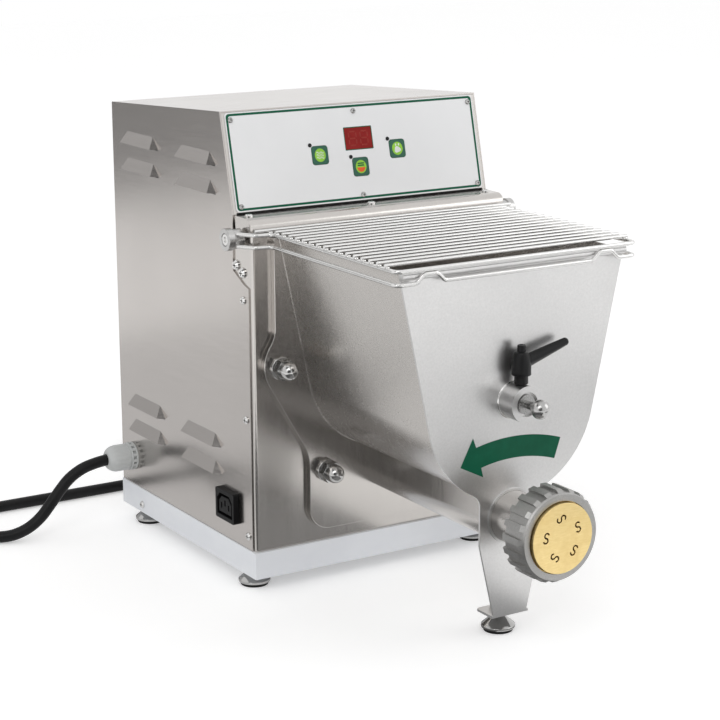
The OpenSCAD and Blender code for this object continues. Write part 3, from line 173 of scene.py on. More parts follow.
def new_group(name, inputs, outputs):
    """An empty shader group with named sockets: inputs as (name, kind, default), outputs as names."""
    tree = bpy.data.node_groups.new(name, "ShaderNodeTree")
    for label, kind, default in inputs:
        socket = tree.interface.new_socket(label, in_out="INPUT", socket_type=kind)
        socket.default_value = default
    for label in outputs:
        tree.interface.new_socket(label, in_out="OUTPUT", socket_type="NodeSocketFloat")
    return tree, tree.nodes.new("NodeGroupInput"), tree.nodes.new("NodeGroupOutput")


def scaled_place(tree, scale_socket):
    """The place on the object times a scale: it stays with the piece as it moves."""
    place = tree.nodes.new("ShaderNodeTexCoord")
    scaled = tree.nodes.new("ShaderNodeVectorMath")
    scaled.operation = "MULTIPLY"
    tree.links.new(place.outputs["Object"], scaled.inputs[0])
    tree.links.new(scale_socket, scaled.inputs[1])
    return scaled.outputs[0]


def map_range(tree, value, low, high, to_low=0.0, to_high=1.0):
    node = tree.nodes.new("ShaderNodeMapRange")
    tree.links.new(value, node.inputs["Value"])
    node.inputs["From Min"].default_value = low
    node.inputs["From Max"].default_value = high
    node.inputs["To Min"].default_value = to_low
    node.inputs["To Max"].default_value = to_high
    return node.outputs["Result"]


def math_node(tree, operation, a, b):
    node = tree.nodes.new("ShaderNodeMath")
    node.operation = operation
    for socket, value in zip(node.inputs, (a, b)):
        if isinstance(value, (int, float)):
            socket.default_value = value
        else:
            tree.links.new(value, socket)
    return node.outputs[0]


def noise(tree, vector, scale, detail, rough=0.5):
    node = tree.nodes.new("ShaderNodeTexNoise")
    tree.links.new(vector, node.inputs["Vector"])
    node.inputs["Scale"].default_value = scale
    node.inputs["Detail"].default_value = detail
    node.inputs["Roughness"].default_value = rough
    return node.outputs["Fac"]


def brushed_lines():
    """Fine lines along one direction: the scale is low along the lines and high across them."""
    name = "Brushed Lines"
    if name in bpy.data.node_groups:
        return bpy.data.node_groups[name]
    tree, source, result = new_group(
        name, [("Lines", "NodeSocketVector", (1, 1, 1)), ("Depth", "NodeSocketFloat", 1.0)],
        ["Shade", "Height"])
    place = scaled_place(tree, source.outputs["Lines"])
    fine = noise(tree, place, 1.0, 3.0, 0.62)
    broad = noise(tree, place, 0.11, 2.0)
    both = math_node(tree, "ADD", math_node(tree, "MULTIPLY", fine, 0.7),
                     math_node(tree, "MULTIPLY", broad, 0.3))
    shade = map_range(tree, both, 0.35, 0.65)
    tree.links.new(shade, result.inputs["Shade"])
    tree.links.new(math_node(tree, "MULTIPLY", shade, source.outputs["Depth"]),
                   result.inputs["Height"])
    return tree


def soft_marks():
    """Broad, cloudy marks of handling and wiping."""
    name = "Soft Marks"
    if name in bpy.data.node_groups:
        return bpy.data.node_groups[name]
    tree, source, result = new_group(
        name, [("Spread", "NodeSocketVector", (9, 9, 9)), ("Amount", "NodeSocketFloat", 1.0)],
        ["Mask"])
    place = scaled_place(tree, source.outputs["Spread"])
    cloud = map_range(tree, noise(tree, place, 1.0, 4.0, 0.6), 0.38, 0.72)
    tree.links.new(math_node(tree, "MULTIPLY", cloud, source.outputs["Amount"]),
                   result.inputs["Mask"])
    return tree


def fine_skin():
    """Even, grainy skin of castings, mouldings, rubber and powder paint."""
    name = "Fine Skin"
    if name in bpy.data.node_groups:
        return bpy.data.node_groups[name]
    tree, source, result = new_group(
        name, [("Grain", "NodeSocketVector", (1800, 1800, 1800)),
               ("Depth", "NodeSocketFloat", 1.0)],
        ["Shade", "Height"])
    place = scaled_place(tree, source.outputs["Grain"])
    grain = noise(tree, place, 1.0, 2.0)
    cells = tree.nodes.new("ShaderNodeTexVoronoi")
    cells.inputs["Scale"].default_value = 0.45
    tree.links.new(place, cells.inputs["Vector"])
    both = math_node(tree, "ADD", math_node(tree, "MULTIPLY", grain, 0.7),
                     math_node(tree, "MULTIPLY", cells.outputs["Distance"], 0.3))
    shade = map_range(tree, both, 0.3, 0.75)
    tree.links.new(shade, result.inputs["Shade"])
    tree.links.new(math_node(tree, "MULTIPLY", shade, source.outputs["Depth"]),
                   result.inputs["Height"])
    return tree


def settled_dust():
    """A thin film of dust on faces that look up."""
    name = "Settled Dust"
    if name in bpy.data.node_groups:
        return bpy.data.node_groups[name]
    tree, source, result = new_group(
        name, [("Amount", "NodeSocketFloat", 0.2), ("Spread", "NodeSocketVector", (60, 60, 60))],
        ["Mask"])
    facing = tree.nodes.new("ShaderNodeNewGeometry")
    split = tree.nodes.new("ShaderNodeSeparateXYZ")
    tree.links.new(facing.outputs["Normal"], split.inputs[0])
    up = map_range(tree, split.outputs["Z"], 0.4, 1.0)
    cloud = map_range(tree, noise(tree, scaled_place(tree, source.outputs["Spread"]), 1.0, 3.0),
                      0.35, 0.7)
    film = math_node(tree, "MULTIPLY", up, cloud)
    tree.links.new(math_node(tree, "MULTIPLY", film, source.outputs["Amount"]),
                   result.inputs["Mask"])
    return tree


# ---------- Finishes ----------


class Finish:
    """A material with its Principled shader and short calls for what feeds it."""

    def __init__(self, name, roughness=0.5, metallic=0.0, specular=0.5):
        self.material = bpy.data.materials.new(name)
        self.material.use_nodes = True
        self.tree = self.material.node_tree
        self.shader = self.tree.nodes["Principled BSDF"]
        self.shader.inputs["Roughness"].default_value = roughness
        self.shader.inputs["Metallic"].default_value = metallic
        self.shader.inputs["Specular IOR Level"].default_value = specular

    def group(self, tree, **values):
        node = self.tree.nodes.new("ShaderNodeGroup")
        node.node_tree = tree
        for label, value in values.items():
            node.inputs[label].default_value = value
        return node

    def colours(self, low, high, mask):
        """Base colour between two colours by a mask; returns the socket for more mixing."""
        return self.mix((*low, 1), (*high, 1), mask)

    def mix(self, a, b, mask):
        node = self.tree.nodes.new("ShaderNodeMix")
        node.data_type = "RGBA"
        self.tree.links.new(mask, node.inputs["Factor"])
        for socket, value in ((node.inputs["A"], a), (node.inputs["B"], b)):
            if isinstance(value, bpy.types.NodeSocket):
                self.tree.links.new(value, socket)
            else:
                socket.default_value = value
        return node.outputs["Result"]

    def clouded(self, base, shade, marks, share):
        """Base colour with clouds of another shade over it, as strong as the share."""
        amount = map_range(self.tree, marks.outputs["Mask"], 0, 1, 0, share)
        self.feed("Base Color", self.mix(base, (*shade, 1), amount))

    def feed(self, label, socket):
        self.tree.links.new(socket, self.shader.inputs[label])

    def roughness(self, mask, low, high):
        self.feed("Roughness", map_range(self.tree, mask, 0.0, 1.0, low, high))

    def bump(self, height, distance, strength=1.0):
        node = self.tree.nodes.new("ShaderNodeBump")
        node.inputs["Strength"].default_value = strength
        node.inputs["Distance"].default_value = distance
        self.tree.links.new(height, node.inputs["Height"])
        self.feed("Normal", node.outputs["Normal"])


def tinted(colour, share):
    return tuple(min(1.0, c * share) for c in colour)


def warm(colour, share):
    """The colour made darker and a little warmer."""
    return colour[0] * share, colour[1] * share * 0.965, colour[2] * share * 0.93


def steel(name, colour, lines, rough, depth, contrast=0.05):
    """Stainless steel: brushed lines in colour, gloss and relief, and cloudy wiping marks."""
    finish = Finish(name, metallic=1.0)
    brushed = finish.group(brushed_lines(), Lines=lines)
    marks = finish.group(soft_marks(), Spread=(7, 7, 7))
    base = finish.colours(tinted(colour, 1 - contrast), tinted(colour, 1 + contrast),
                          brushed.outputs["Shade"])
    finish.clouded(base, tinted(colour, 0.93), marks, 0.5)
    streaks = math_node(finish.tree, "MULTIPLY", brushed.outputs["Shade"], 0.6)
    clouds = math_node(finish.tree, "MULTIPLY", marks.outputs["Mask"], 0.4)
    finish.roughness(math_node(finish.tree, "ADD", streaks, clouds), rough[0], rough[1])
    finish.bump(brushed.outputs["Height"], depth, 0.6)
    return finish.material


def bead_satin(name, colour, rough):
    """The bowl's satin steel: a fine, even mottle without a direction."""
    finish = Finish(name, metallic=1.0)
    skin = finish.group(fine_skin(), Grain=(900, 900, 900))
    marks = finish.group(soft_marks(), Spread=(11, 11, 6))
    base = finish.colours(tinted(colour, 0.94), tinted(colour, 1.05), skin.outputs["Shade"])
    finish.clouded(base, tinted(colour, 0.93), marks, 0.5)
    finish.roughness(marks.outputs["Mask"], rough[0], rough[1])
    finish.bump(skin.outputs["Height"], 0.00002, 0.5)
    return finish.material


def polished_steel(name, colour, rough=(0.10, 0.2)):
    finish = Finish(name, metallic=1.0)
    marks = finish.group(soft_marks(), Spread=(45, 45, 45))
    fine = finish.group(brushed_lines(), Lines=(400, 400, 400))
    finish.feed("Base Color", finish.colours(colour, tinted(colour, 0.9), marks.outputs["Mask"]))
    finish.roughness(marks.outputs["Mask"], rough[0], rough[1])
    finish.bump(fine.outputs["Height"], 0.00001, 0.4)
    return finish.material


def white_paint():
    """Powder paint of the base tray: very light and a little blue, with dust on its ledges."""
    finish = Finish("White powder paint", specular=0.5)
    skin = finish.group(fine_skin(), Grain=(700, 700, 700))
    marks = finish.group(soft_marks(), Spread=(14, 14, 30))
    dust = finish.group(settled_dust(), Amount=0.35, Spread=(80, 80, 80))
    base = finish.colours((0.80, 0.82, 0.86), (0.85, 0.87, 0.90), marks.outputs["Mask"])
    finish.feed("Base Color", finish.mix(base, (0.66, 0.66, 0.64, 1), dust.outputs["Mask"]))
    finish.roughness(skin.outputs["Shade"], 0.32, 0.46)
    finish.bump(skin.outputs["Height"], 0.00004, 0.5)
    return finish.material


def zinc_plate():
    finish = Finish("Zinc plating", metallic=1.0)
    cells = finish.group(fine_skin(), Grain=(160, 160, 160))
    finish.feed("Base Color", finish.colours((0.42, 0.43, 0.45), (0.6, 0.61, 0.63),
                                             cells.outputs["Shade"]))
    finish.roughness(cells.outputs["Shade"], 0.28, 0.5)
    return finish.material


def moulded(name, colour, grain=1500, rough=(0.38, 0.52), depth=0.00003, specular=0.5):
    """Moulded plastic or rubber: a fine skin and slightly worn, paler clouds."""
    finish = Finish(name, specular=specular)
    skin = finish.group(fine_skin(), Grain=(grain, grain, grain))
    marks = finish.group(soft_marks(), Spread=(50, 50, 50))
    worn = tuple(min(1.0, c * 1.2 + 0.003) for c in colour)
    finish.feed("Base Color", finish.colours(colour, worn, marks.outputs["Mask"]))
    finish.roughness(skin.outputs["Shade"], rough[0], rough[1])
    finish.bump(skin.outputs["Height"], depth, 0.6)
    return finish.material


def printed(name, colour, rough=(0.3, 0.42)):
    """Screen print: flat ink with a slight unevenness."""
    finish = Finish(name, specular=0.2)
    marks = finish.group(soft_marks(), Spread=(120, 120, 120))
    finish.feed("Base Color", finish.colours(tinted(colour, 0.92), tinted(colour, 1.08),
                                             marks.outputs["Mask"]))
    finish.roughness(marks.outputs["Mask"], rough[0], rough[1])
    return finish.material


def label_face():
    finish = Finish("Label face")
    skin = finish.group(fine_skin(), Grain=(2600, 2600, 2600))
    marks = finish.group(soft_marks(), Spread=(12, 12, 12))
    finish.feed("Base Color", finish.colours((0.80, 0.803, 0.81), (0.83, 0.834, 0.84),
                                             marks.outputs["Mask"]))
    finish.roughness(skin.outputs["Shade"], 0.30, 0.42)
    finish.bump(skin.outputs["Height"], 0.00001, 0.4)
    return finish.material


def display_window():
    finish = Finish("Display window", specular=0.08)
    marks = finish.group(soft_marks(), Spread=(90, 90, 90))
    finish.feed("Base Color", finish.colours((0.24, 0.014, 0.013), (0.29, 0.019, 0.017),
                                             marks.outputs["Mask"]))
    finish.roughness(marks.outputs["Mask"], 0.12, 0.22)
    finish.shader.inputs["Coat Weight"].default_value = 0.08
    finish.shader.inputs["Coat Roughness"].default_value = 0.08
    return finish.material


def circuit_board():
    finish = Finish("Circuit board")
    skin = finish.group(fine_skin(), Grain=(420, 420, 420))
    finish.feed("Base Color", finish.colours((0.01, 0.09, 0.04), (0.02, 0.17, 0.08),
                                             skin.outputs["Shade"]))
    finish.roughness(skin.outputs["Shade"], 0.25, 0.5)
    return finish.material


def cast_alloy(name="Cast alloy", colour=(0.42, 0.415, 0.405)):
    """Sand-blasted aluminium casting."""
    finish = Finish(name, metallic=1.0)
    skin = finish.group(fine_skin(), Grain=(1300, 1300, 1300))
    marks = finish.group(soft_marks(), Spread=(38, 38, 38))
    base = finish.colours(tinted(colour, 0.86), tinted(colour, 1.14), skin.outputs["Shade"])
    finish.clouded(base, tinted(colour, 0.85), marks, 0.6)
    finish.roughness(skin.outputs["Shade"], 0.34, 0.48)
    finish.bump(skin.outputs["Height"], 0.00005, 0.7)
    return finish.material


def oiled_steel():
    finish = Finish("Oiled gear steel", metallic=1.0)
    fine = finish.group(brushed_lines(), Lines=(90, 900, 90))
    marks = finish.group(soft_marks(), Spread=(60, 60, 60))
    finish.feed("Base Color", finish.colours((0.24, 0.25, 0.27), (0.42, 0.42, 0.42),
                                             fine.outputs["Shade"]))
    finish.roughness(marks.outputs["Mask"], 0.18, 0.42)
    finish.bump(fine.outputs["Height"], 0.00002, 0.5)
    return finish.material


def motor_enamel():
    finish = Finish("Motor enamel")
    skin = finish.group(fine_skin(), Grain=(520, 520, 520))
    finish.feed("Base Color", finish.colours((0.10, 0.115, 0.13), (0.15, 0.165, 0.185),
                                             skin.outputs["Shade"]))
    finish.roughness(skin.outputs["Shade"], 0.3, 0.5)
    finish.bump(skin.outputs["Height"], 0.00005, 0.6)
    return finish.material


def die_brass():
    """Turned brass: pale gold, with faint rings of the lathe and fine scratches."""
    finish = Finish("Die brass", metallic=1.0)
    lines = finish.group(brushed_lines(), Lines=(160, 40, 900))
    marks = finish.group(soft_marks(), Spread=(90, 90, 60))
    base = finish.colours((0.87, 0.665, 0.295), (0.97, 0.765, 0.375), lines.outputs["Shade"])
    finish.clouded(base, (0.80, 0.61, 0.28), marks, 0.55)
    finish.roughness(marks.outputs["Mask"], 0.32, 0.5)
    finish.bump(lines.outputs["Height"], 0.00002, 0.5)
    return finish.material


def cord_jacket():
    finish = Finish("Cord jacket", specular=0.2)
    skin = finish.group(fine_skin(), Grain=(1500, 1500, 1500))
    marks = finish.group(soft_marks(), Spread=(40, 40, 40))
    finish.feed("Base Color", finish.colours((0.006, 0.006, 0.0065), (0.012, 0.012, 0.013),
                                             marks.outputs["Mask"]))
    finish.roughness(skin.outputs["Shade"], 0.36, 0.5)
    finish.bump(skin.outputs["Height"], 0.00003, 0.5)
    return finish.material


MADE = {}


def finish_of(name):
    """The material of that short name, made the first time it is asked for."""
    if name not in MADE:
        scene = bpy.context.scene
        metal, label = scene.pasta_steel, scene.pasta_label
        makers = {
            "side": lambda: steel("Side panel steel", metal.side[:], (40, 40, 1100), (0.18, 0.25),
                                  0.000004, 0.025),
            "cover": lambda: steel("Front cover steel", warm(metal.satin[:], 0.84),
                                   (1000, 1000, 30), (0.15, 0.22), 0.000004, 0.03),
            # The brackets' steel is the satin steel made much darker: painted shade
            "bracket": lambda: steel("Bracket steel in painted shade", warm(metal.satin[:], 0.6),
                                     (60, 60, 900), (0.2, 0.28), 0.000004, 0.03),
            "trough": lambda: steel("Trough steel", warm(metal.satin[:], 0.92),
                                    (30, 900, 900), (0.22, 0.31), 0.000004, 0.03),
            "barrel": lambda: steel("Barrel steel", warm(metal.satin[:], 0.84),
                                    (60, 700, 60), (0.2, 0.3), 0.000006, 0.03),
            "bowl": lambda: bead_satin("Bowl satin steel", metal.satin[:], (0.28, 0.38)),
            "foot": lambda: polished_steel("Foot steel", tinted(metal.polished[:], 0.62)),
            "dark polished": lambda: polished_steel("Pin steel", tinted(metal.polished[:], 0.62),
                                                    (0.2, 0.3)),
            "nut": lambda: polished_steel("Nut steel", tinted(metal.polished[:], 0.72),
                                          (0.12, 0.2)),
            "hub": lambda: polished_steel("Hub steel", tinted(metal.polished[:], 0.76),
                                          (0.2, 0.3)),
            "ledge": lambda: steel("Wire steel", metal.polished[:], (30, 500, 500),
                                   (0.16, 0.26), 0.00001, 0.03),
            "polished": lambda: polished_steel("Polished steel", metal.polished[:]),
            "tray": white_paint,
            "zinc": zinc_plate,
            "label": label_face,
            "border": lambda: printed("Green print", label.print_colour[:]),
            "lime": lambda: printed("Lime print", label.lime[:]),
            "white": lambda: printed("White print", (0.78, 0.80, 0.76)),
            "orange": lambda: printed("Orange print", (0.80, 0.13, 0.03)),
            "display": display_window,
            "segment": lambda: printed("Unlit segments", (0.30, 0.03, 0.022), (0.2, 0.3)),
            "board": circuit_board,
            "key": lambda: moulded("Key green", (0.004, 0.085, 0.045), 900, (0.3, 0.42)),
            "black": lambda: moulded("Black moulding", (0.005, 0.005, 0.0055), 1100, (0.34, 0.46),
                                     specular=0.22),
            "socket": lambda: moulded("Socket black", (0.004, 0.004, 0.0045), 800, (0.4, 0.52),
                                      specular=0.16),
            "rubber": lambda: moulded("Black rubber", (0.007, 0.007, 0.007), 900, (0.55, 0.7),
                                      specular=0.2),
            "nylon": lambda: moulded("Grey nylon", (0.50, 0.512, 0.508), 900, (0.36, 0.5)),
            "cast": cast_alloy,
            "gear": oiled_steel,
            "motor": motor_enamel,
            "brass": die_brass,
            "jacket": cord_jacket,
            "pin metal": lambda: polished_steel("Nickelled pins", (0.66, 0.65, 0.62)),
            "tie": lambda: moulded("Woven tie", (0.02, 0.02, 0.022), 2400, (0.6, 0.8), 0.00008),
        }
        MADE[name] = makers[name]()
    return MADE[name]


def dress(node, finish, edge=0.0, angle=32):
    """Gives a node of the part its finish and, where asked, finely rounded edges."""
    obj = NODES[node]
    obj.data.materials.clear()
    obj.data.materials.append(finish_of(finish))
    if edge:
        normals = obj.data.attributes.get("custom_normal")
        if normals:
            obj.data.attributes.remove(normals)
        for face in obj.data.polygons:
            face.use_smooth = True
        weld = obj.modifiers.new("Join split points", "WELD")
        weld.merge_threshold = 0.000002
        flat = obj.modifiers.new("Whole flat faces", "DECIMATE")
        flat.decimate_type = "DISSOLVE"
        flat.angle_limit = math.radians(0.6)
        round_edge = obj.modifiers.new("Round edges", "BEVEL")
        round_edge.width = edge
        round_edge.segments = 2
        round_edge.limit_method = "ANGLE"
        round_edge.angle_limit = math.radians(angle)
        round_edge.harden_normals = True
        even = obj.modifiers.new("Even shading of flat faces", "WEIGHTED_NORMAL")
        even.mode = "FACE_AREA"
        even.weight = 90
        even.keep_sharp = True


# ---------- Mesh tools ----------


def to_object(name, mesh_data, finish, body, sharp=38):
    """A mesh becomes a piece: smooth with sharp corners kept, with its finish, riding on a body."""
    mesh = bpy.data.meshes.new(name)
    bmesh.ops.recalc_face_normals(mesh_data, faces=mesh_data.faces)
    mesh_data.to_mesh(mesh)
    mesh_data.free()
    for face in mesh.polygons:
        face.use_smooth = True
    mesh.set_sharp_from_angle(angle=math.radians(sharp))
    mesh.materials.append(finish_of(finish))
    obj = bpy.data.objects.new(name, mesh)
    bpy.context.scene.collection.objects.link(obj)
    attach(obj, body)
    return obj


def turned(mesh_data, profile, place=Matrix.Identity(4), sides=48, flutes=None):
    """A body of revolution about local Z: profile is (height, radius); flutes may change a radius."""
    rings = []
    for height, radius in profile:
        if radius < 1e-7:
            rings.append([mesh_data.verts.new(place @ Vector((0, 0, height)))])
            continue
        ring = []
        for k in range(sides):
            turn = 2 * math.pi * k / sides
            r = radius * (flutes(height, turn) if flutes else 1)
            ring.append(mesh_data.verts.new(
                place @ Vector((r * math.cos(turn), r * math.sin(turn), height))))
        rings.append(ring)
    for low, high in zip(rings, rings[1:]):
        for k in range(sides):
            a, b = k % len(low), (k + 1) % len(low)
            c, d = (k + 1) % len(high), k % len(high)
            corners = [low[a], low[b], high[c], high[d]]
            unique = list(dict.fromkeys(corners))
            if len(unique) > 2:
                mesh_data.faces.new(unique)
    for ring in (rings[0], rings[-1]):
        if len(ring) > 1:
            mesh_data.faces.new(ring)


def frames_along(points):
    """A side direction for each point, carried along without twisting."""
    count = len(points)
    tangents = [(points[min(i + 1, count - 1)] - points[max(i - 1, 0)]).normalized()
                for i in range(count)]
    side = tangents[0].orthogonal().normalized()
    sides = []
    for tangent in tangents:
        side = (side - tangent * side.dot(tangent)).normalized()
        sides.append(side.copy())
    return tangents, sides


def swept(mesh_data, points, radius, sides=20, section=None):
    """A tube along points, closed at both ends; section(i, turn) gives (across, up) shares."""
    points = [Vector(p) for p in points]
    tangents, across = frames_along(points)
    rings = []
    for i, (point, tangent, side) in enumerate(zip(points, tangents, across)):
        up = tangent.cross(side)
        ring = []
        for k in range(sides):
            turn = 2 * math.pi * k / sides
            a, b = section(i, turn) if section else (math.cos(turn), math.sin(turn))
            ring.append(mesh_data.verts.new(point + (side * a + up * b) * radius))
        rings.append(ring)
    for low, high in zip(rings, rings[1:]):
        for k in range(sides):
            n = (k + 1) % sides
            mesh_data.faces.new((low[k], low[n], high[n], high[k]))
    mesh_data.faces.new(rings[0])
    mesh_data.faces.new(rings[-1])


def prism(mesh_data, outline, place, low, high):
    """A closed outline in local X and Z, from depth low to depth high in local Y."""
    front = [mesh_data.verts.new(place @ Vector((x, low, z))) for x, z in outline]
    back = [mesh_data.verts.new(place @ Vector((x, high, z))) for x, z in outline]
    mesh_data.faces.new(front)
    mesh_data.faces.new(back[::-1])
    for k in range(len(outline)):
        n = (k + 1) % len(outline)
        mesh_data.faces.new((front[k], back[k], back[n], front[n]))


def ring_prism(mesh_data, outer, inner, place, low, high):
    """A closed band between two outlines with as many points each."""
    loops = [[mesh_data.verts.new(place @ Vector((x, y, z))) for x, z in outline]
             for outline, y in ((outer, low), (inner, low), (inner, high), (outer, high))]
    count = len(outer)
    for a, b in zip(loops, loops[1:] + loops[:1]):
        for k in range(count):
            n = (k + 1) % count
            mesh_data.faces.new((a[k], a[n], b[n], b[k]))


def rounded_box(width, height, radius, centre=(0, 0), steps=6):
    """Outline of a rectangle with round corners."""
    outline = []
    for sx, sz, start in ((1, 1, 0), (-1, 1, 90), (-1, -1, 180), (1, -1, 270)):
        for k in range(steps + 1):
            turn = math.radians(start + 90 * k / steps)
            outline.append((centre[0] + sx * (width / 2 - radius) + radius * math.cos(turn),
                            centre[1] + sz * (height / 2 - radius) + radius * math.sin(turn)))
    return outline


def ellipse(width, height, centre=(0, 0), steps=40):
    return [(centre[0] + width / 2 * math.cos(2 * math.pi * k / steps),
             centre[1] + height / 2 * math.sin(2 * math.pi * k / steps)) for k in range(steps)]


def rounded_corners(points, radius, steps=8):
    """The path with each inner corner replaced by an arc."""
    points = [Vector(p) for p in points]
    path = [points[0]]
    for before, corner, after in zip(points, points[1:], points[2:]):
        u, v = (before - corner).normalized(), (after - corner).normalized()
        half = u.angle(v) / 2
        reach = radius / math.tan(half)
        limit = 0.49 * min((before - corner).length, (after - corner).length)
        r = radius * min(1.0, limit / reach)
        centre = corner + (u + v).normalized() * (r / math.sin(half))
        start = corner + u * (r / math.tan(half)) - centre
        end = corner + v * (r / math.tan(half)) - centre
        turn = start.angle(end)
        for k in range(steps + 1):
            f = k / steps
            path.append(centre + (start * math.sin((1 - f) * turn) + end * math.sin(f * turn))
                        / math.sin(turn))
    return path + [points[-1]]


def smoothed(points, steps):
    """Points spread along a smooth curve through the given ones."""
    points = [Vector(p) for p in points]
    count, path = len(points), []
    for i in range(count - 1):
        a, b = points[max(i - 1, 0)], points[i]
        c, d = points[i + 1], points[min(i + 2, count - 1)]
        for k in range(steps):
            f = k / steps
            path.append(0.5 * (2 * b + (c - a) * f + (2 * a - 5 * b + 4 * c - d) * f ** 2
                               + (3 * b - a - 3 * c + d) * f ** 3))
    return path + [points[-1]]


def angles(start, end, steps):
    """Equal steps from start to end, given in degrees and returned in radians."""
    return [math.radians(start + (end - start) * k / steps) for k in range(steps + 1)]


def facing_front(place):
    """Turns local +Z to the front, -Y."""
    return Matrix.Translation(place) @ Matrix.Rotation(math.radians(90), 4, "X")


def facing_left(place):
    """Turns local +Z to the left, -X."""
    return Matrix.Translation(place) @ Matrix.Rotation(math.radians(-90), 4, "Y")


def panel_place():
    """The control panel's plane: X across, Y into the cabinet, Z up the slope."""
    return Matrix.Translation(PANEL_FOOT) @ Matrix.Rotation(-PANEL_TILT, 4, "X")


# ---------- Operators: one for each piece or group of like pieces ----------


class PASTAMAKER_OT_cabinet(Operator):
    """Casing, covers, brackets and the chassis in their steels"""

    bl_idname = "pastamaker.cabinet"
    bl_label = "Cabinet sheets"

    def execute(self, context):
        edge = context.scene.pasta_steel.edge
        dress("casing_shell", "side", edge, 10)
        dress("rear_panel", "side", edge)
        dress("front_cover", "cover", edge, 40)
        dress("control_backing", "cover", edge)
        # The brackets take the darkened steel, which paints their shade
        dress("hinge_brackets", "bracket", edge)
        dress("chassis_frame", "zinc", edge)
        return {"FINISHED"}


class PASTAMAKER_OT_base_tray(Operator):
    """White base tray"""

    bl_idname = "pastamaker.base_tray"
    bl_label = "Base tray"

    def execute(self, context):
        dress("base_tray", "tray", 0.0009)
        return {"FINISHED"}


class PASTAMAKER_OT_label(Operator):
    """Label plate with its border line, display window and status lights"""

    bl_idname = "pastamaker.label"
    bl_label = "Label and display"

    def execute(self, context):
        sizes = context.scene.pasta_label
        dress("label_plate", "label", 0.0002)
        dress("display_window", "display", 0.0002)
        dress("status_leds", "black")
        place = panel_place()
        low, high = LABEL_FACE - sizes.ink, LABEL_FACE + 0.0001
        self.border(sizes, place, low, high)
        self.display(place, low, high)
        self.joint(place)
        return {"FINISHED"}

    def joint(self, place):
        """A thin dark strip in the gap between the label's lower edge and the ledge: painted shadow
        of that gap.
        """
        mesh_data = bmesh.new()
        width, height, middle = 0.2515, 0.0013, (0, 0.00085)
        prism(mesh_data, rounded_box(width, height, 0.0003, middle, 2), place, -0.0005, 0.0001)
        # Dark rubber strip that paints the gap's shadow and its dark reflection in the ledge
        to_object("label_gap_shadow_strip", mesh_data, "rubber", "cabinet")

    def border(self, sizes, place, low, high):
        width, height, middle = 0.252, 0.084, (0, 0.04372)
        mesh_data = bmesh.new()
        outlines = [rounded_box(width - 2 * inset, height - 2 * inset, 0.0034 - 0.4 * inset, middle)
                    for inset in (sizes.border_inset, sizes.border_inset + sizes.border)]
        ring_prism(mesh_data, outlines[0], outlines[1], place, low, high)
        to_object("label_border", mesh_data, "border", "cabinet")

    def display(self, place, low, high):
        """Printed frame around the display window and its two unlit figures."""
        mesh_data = bmesh.new()
        outer = rounded_box(0.0287, 0.0202, 0.0008, DISPLAY_PLACE)
        inner = rounded_box(0.0272, 0.0187, 0.0004, DISPLAY_PLACE)
        ring_prism(mesh_data, outer, inner, place, low, high)
        to_object("display_frame", mesh_data, "border", "cabinet")
        mesh_data = bmesh.new()
        for digit in (-0.0058, 0.0058):
            self.digit(mesh_data, place, DISPLAY_PLACE[0] + digit, DISPLAY_PLACE[1], low, high)
        to_object("display_segments", mesh_data, "segment", "cabinet")

    def digit(self, mesh_data, place, x, z, low, high):
        """Seven unlit bars of one figure."""
        wide, tall, bar = 0.0056, 0.0060, 0.0012
        for level in (-1, 0, 1):
            prism(mesh_data, rounded_box(wide, bar, 0.0005, (x, z + level * tall), 3),
                  place, low, high)
        for side in (-1, 1):
            for level in (-0.5, 0.5):
                prism(mesh_data, rounded_box(bar, tall - 1.6 * bar, 0.0005,
                                             (x + side * 0.0037, z + level * tall), 3),
                      place, low, high)


class PASTAMAKER_OT_keys(Operator):
    """Three keys, each with a lime oval and a plain sign of its own"""

    bl_idname = "pastamaker.keys"
    bl_label = "Keys"

    def execute(self, context):
        ink = context.scene.pasta_label.ink
        place = panel_place()
        low, high = KEY_FACE - ink, KEY_FACE + 0.0001
        for name, (x, z) in KEY_PLACES.items():
            dress("key_" + name, "key", 0.0003)
            mesh_data = bmesh.new()
            prism(mesh_data, ellipse(0.0108, 0.0116, (x, z)), place, low, high)
            to_object(f"key_{name}_oval", mesh_data, "lime", name + "_key")
        signs = {"left": ("white", self.strands), "centre": ("orange", self.segments),
                 "right": ("white", self.dough)}
        for name, (finish, draw) in signs.items():
            mesh_data = bmesh.new()
            draw(mesh_data, KEY_PLACES[name], place, low - ink, low)
            to_object(f"key_{name}_sign", mesh_data, finish, name + "_key")
        mesh_data = bmesh.new()
        x, z = KEY_PLACES["centre"]
        for rise in (0.0012, 0.0030):
            prism(mesh_data, rounded_box(0.0066, 0.0011, 0.0005, (x, z + rise), 3),
                  place, low - ink, low)
        to_object("key_centre_bars", mesh_data, "border", "centre_key")
        return {"FINISHED"}

    def strands(self, mesh_data, key, place, low, high):
        """Three wavy strands."""
        for rise in (-0.0022, 0.0, 0.0022):
            top, bottom = [], []
            for k in range(13):
                x = -0.0036 + 0.0006 * k
                z = rise + 0.0007 * math.sin(k * math.pi / 3)
                top.append((key[0] + x, key[1] + z + 0.0004))
                bottom.append((key[0] + x, key[1] + z - 0.0004))
            prism(mesh_data, bottom + top[::-1], place, low, high)

    def segments(self, mesh_data, key, place, low, high):
        """The lower part of a disc."""
        arc = [(key[0] + 0.0042 * math.cos(t), key[1] + 0.0046 * math.sin(t))
               for t in angles(187, 353, 16)]
        prism(mesh_data, arc, place, low, high)

    def dough(self, mesh_data, key, place, low, high):
        """A soft round lump with two drops above it."""
        lump = []
        for k in range(32):
            t = 2 * math.pi * k / 32
            r = 0.0032 * (1 + 0.12 * math.cos(3 * t + 0.6))
            lump.append((key[0] + r * math.cos(t), key[1] - 0.0010 + 0.85 * r * math.sin(t)))
        prism(mesh_data, lump, place, low, high)
        for x in (-0.0014, 0.0016):
            prism(mesh_data, ellipse(0.0014, 0.0022, (key[0] + x, key[1] + 0.0034), 16),
                  place, low, high)


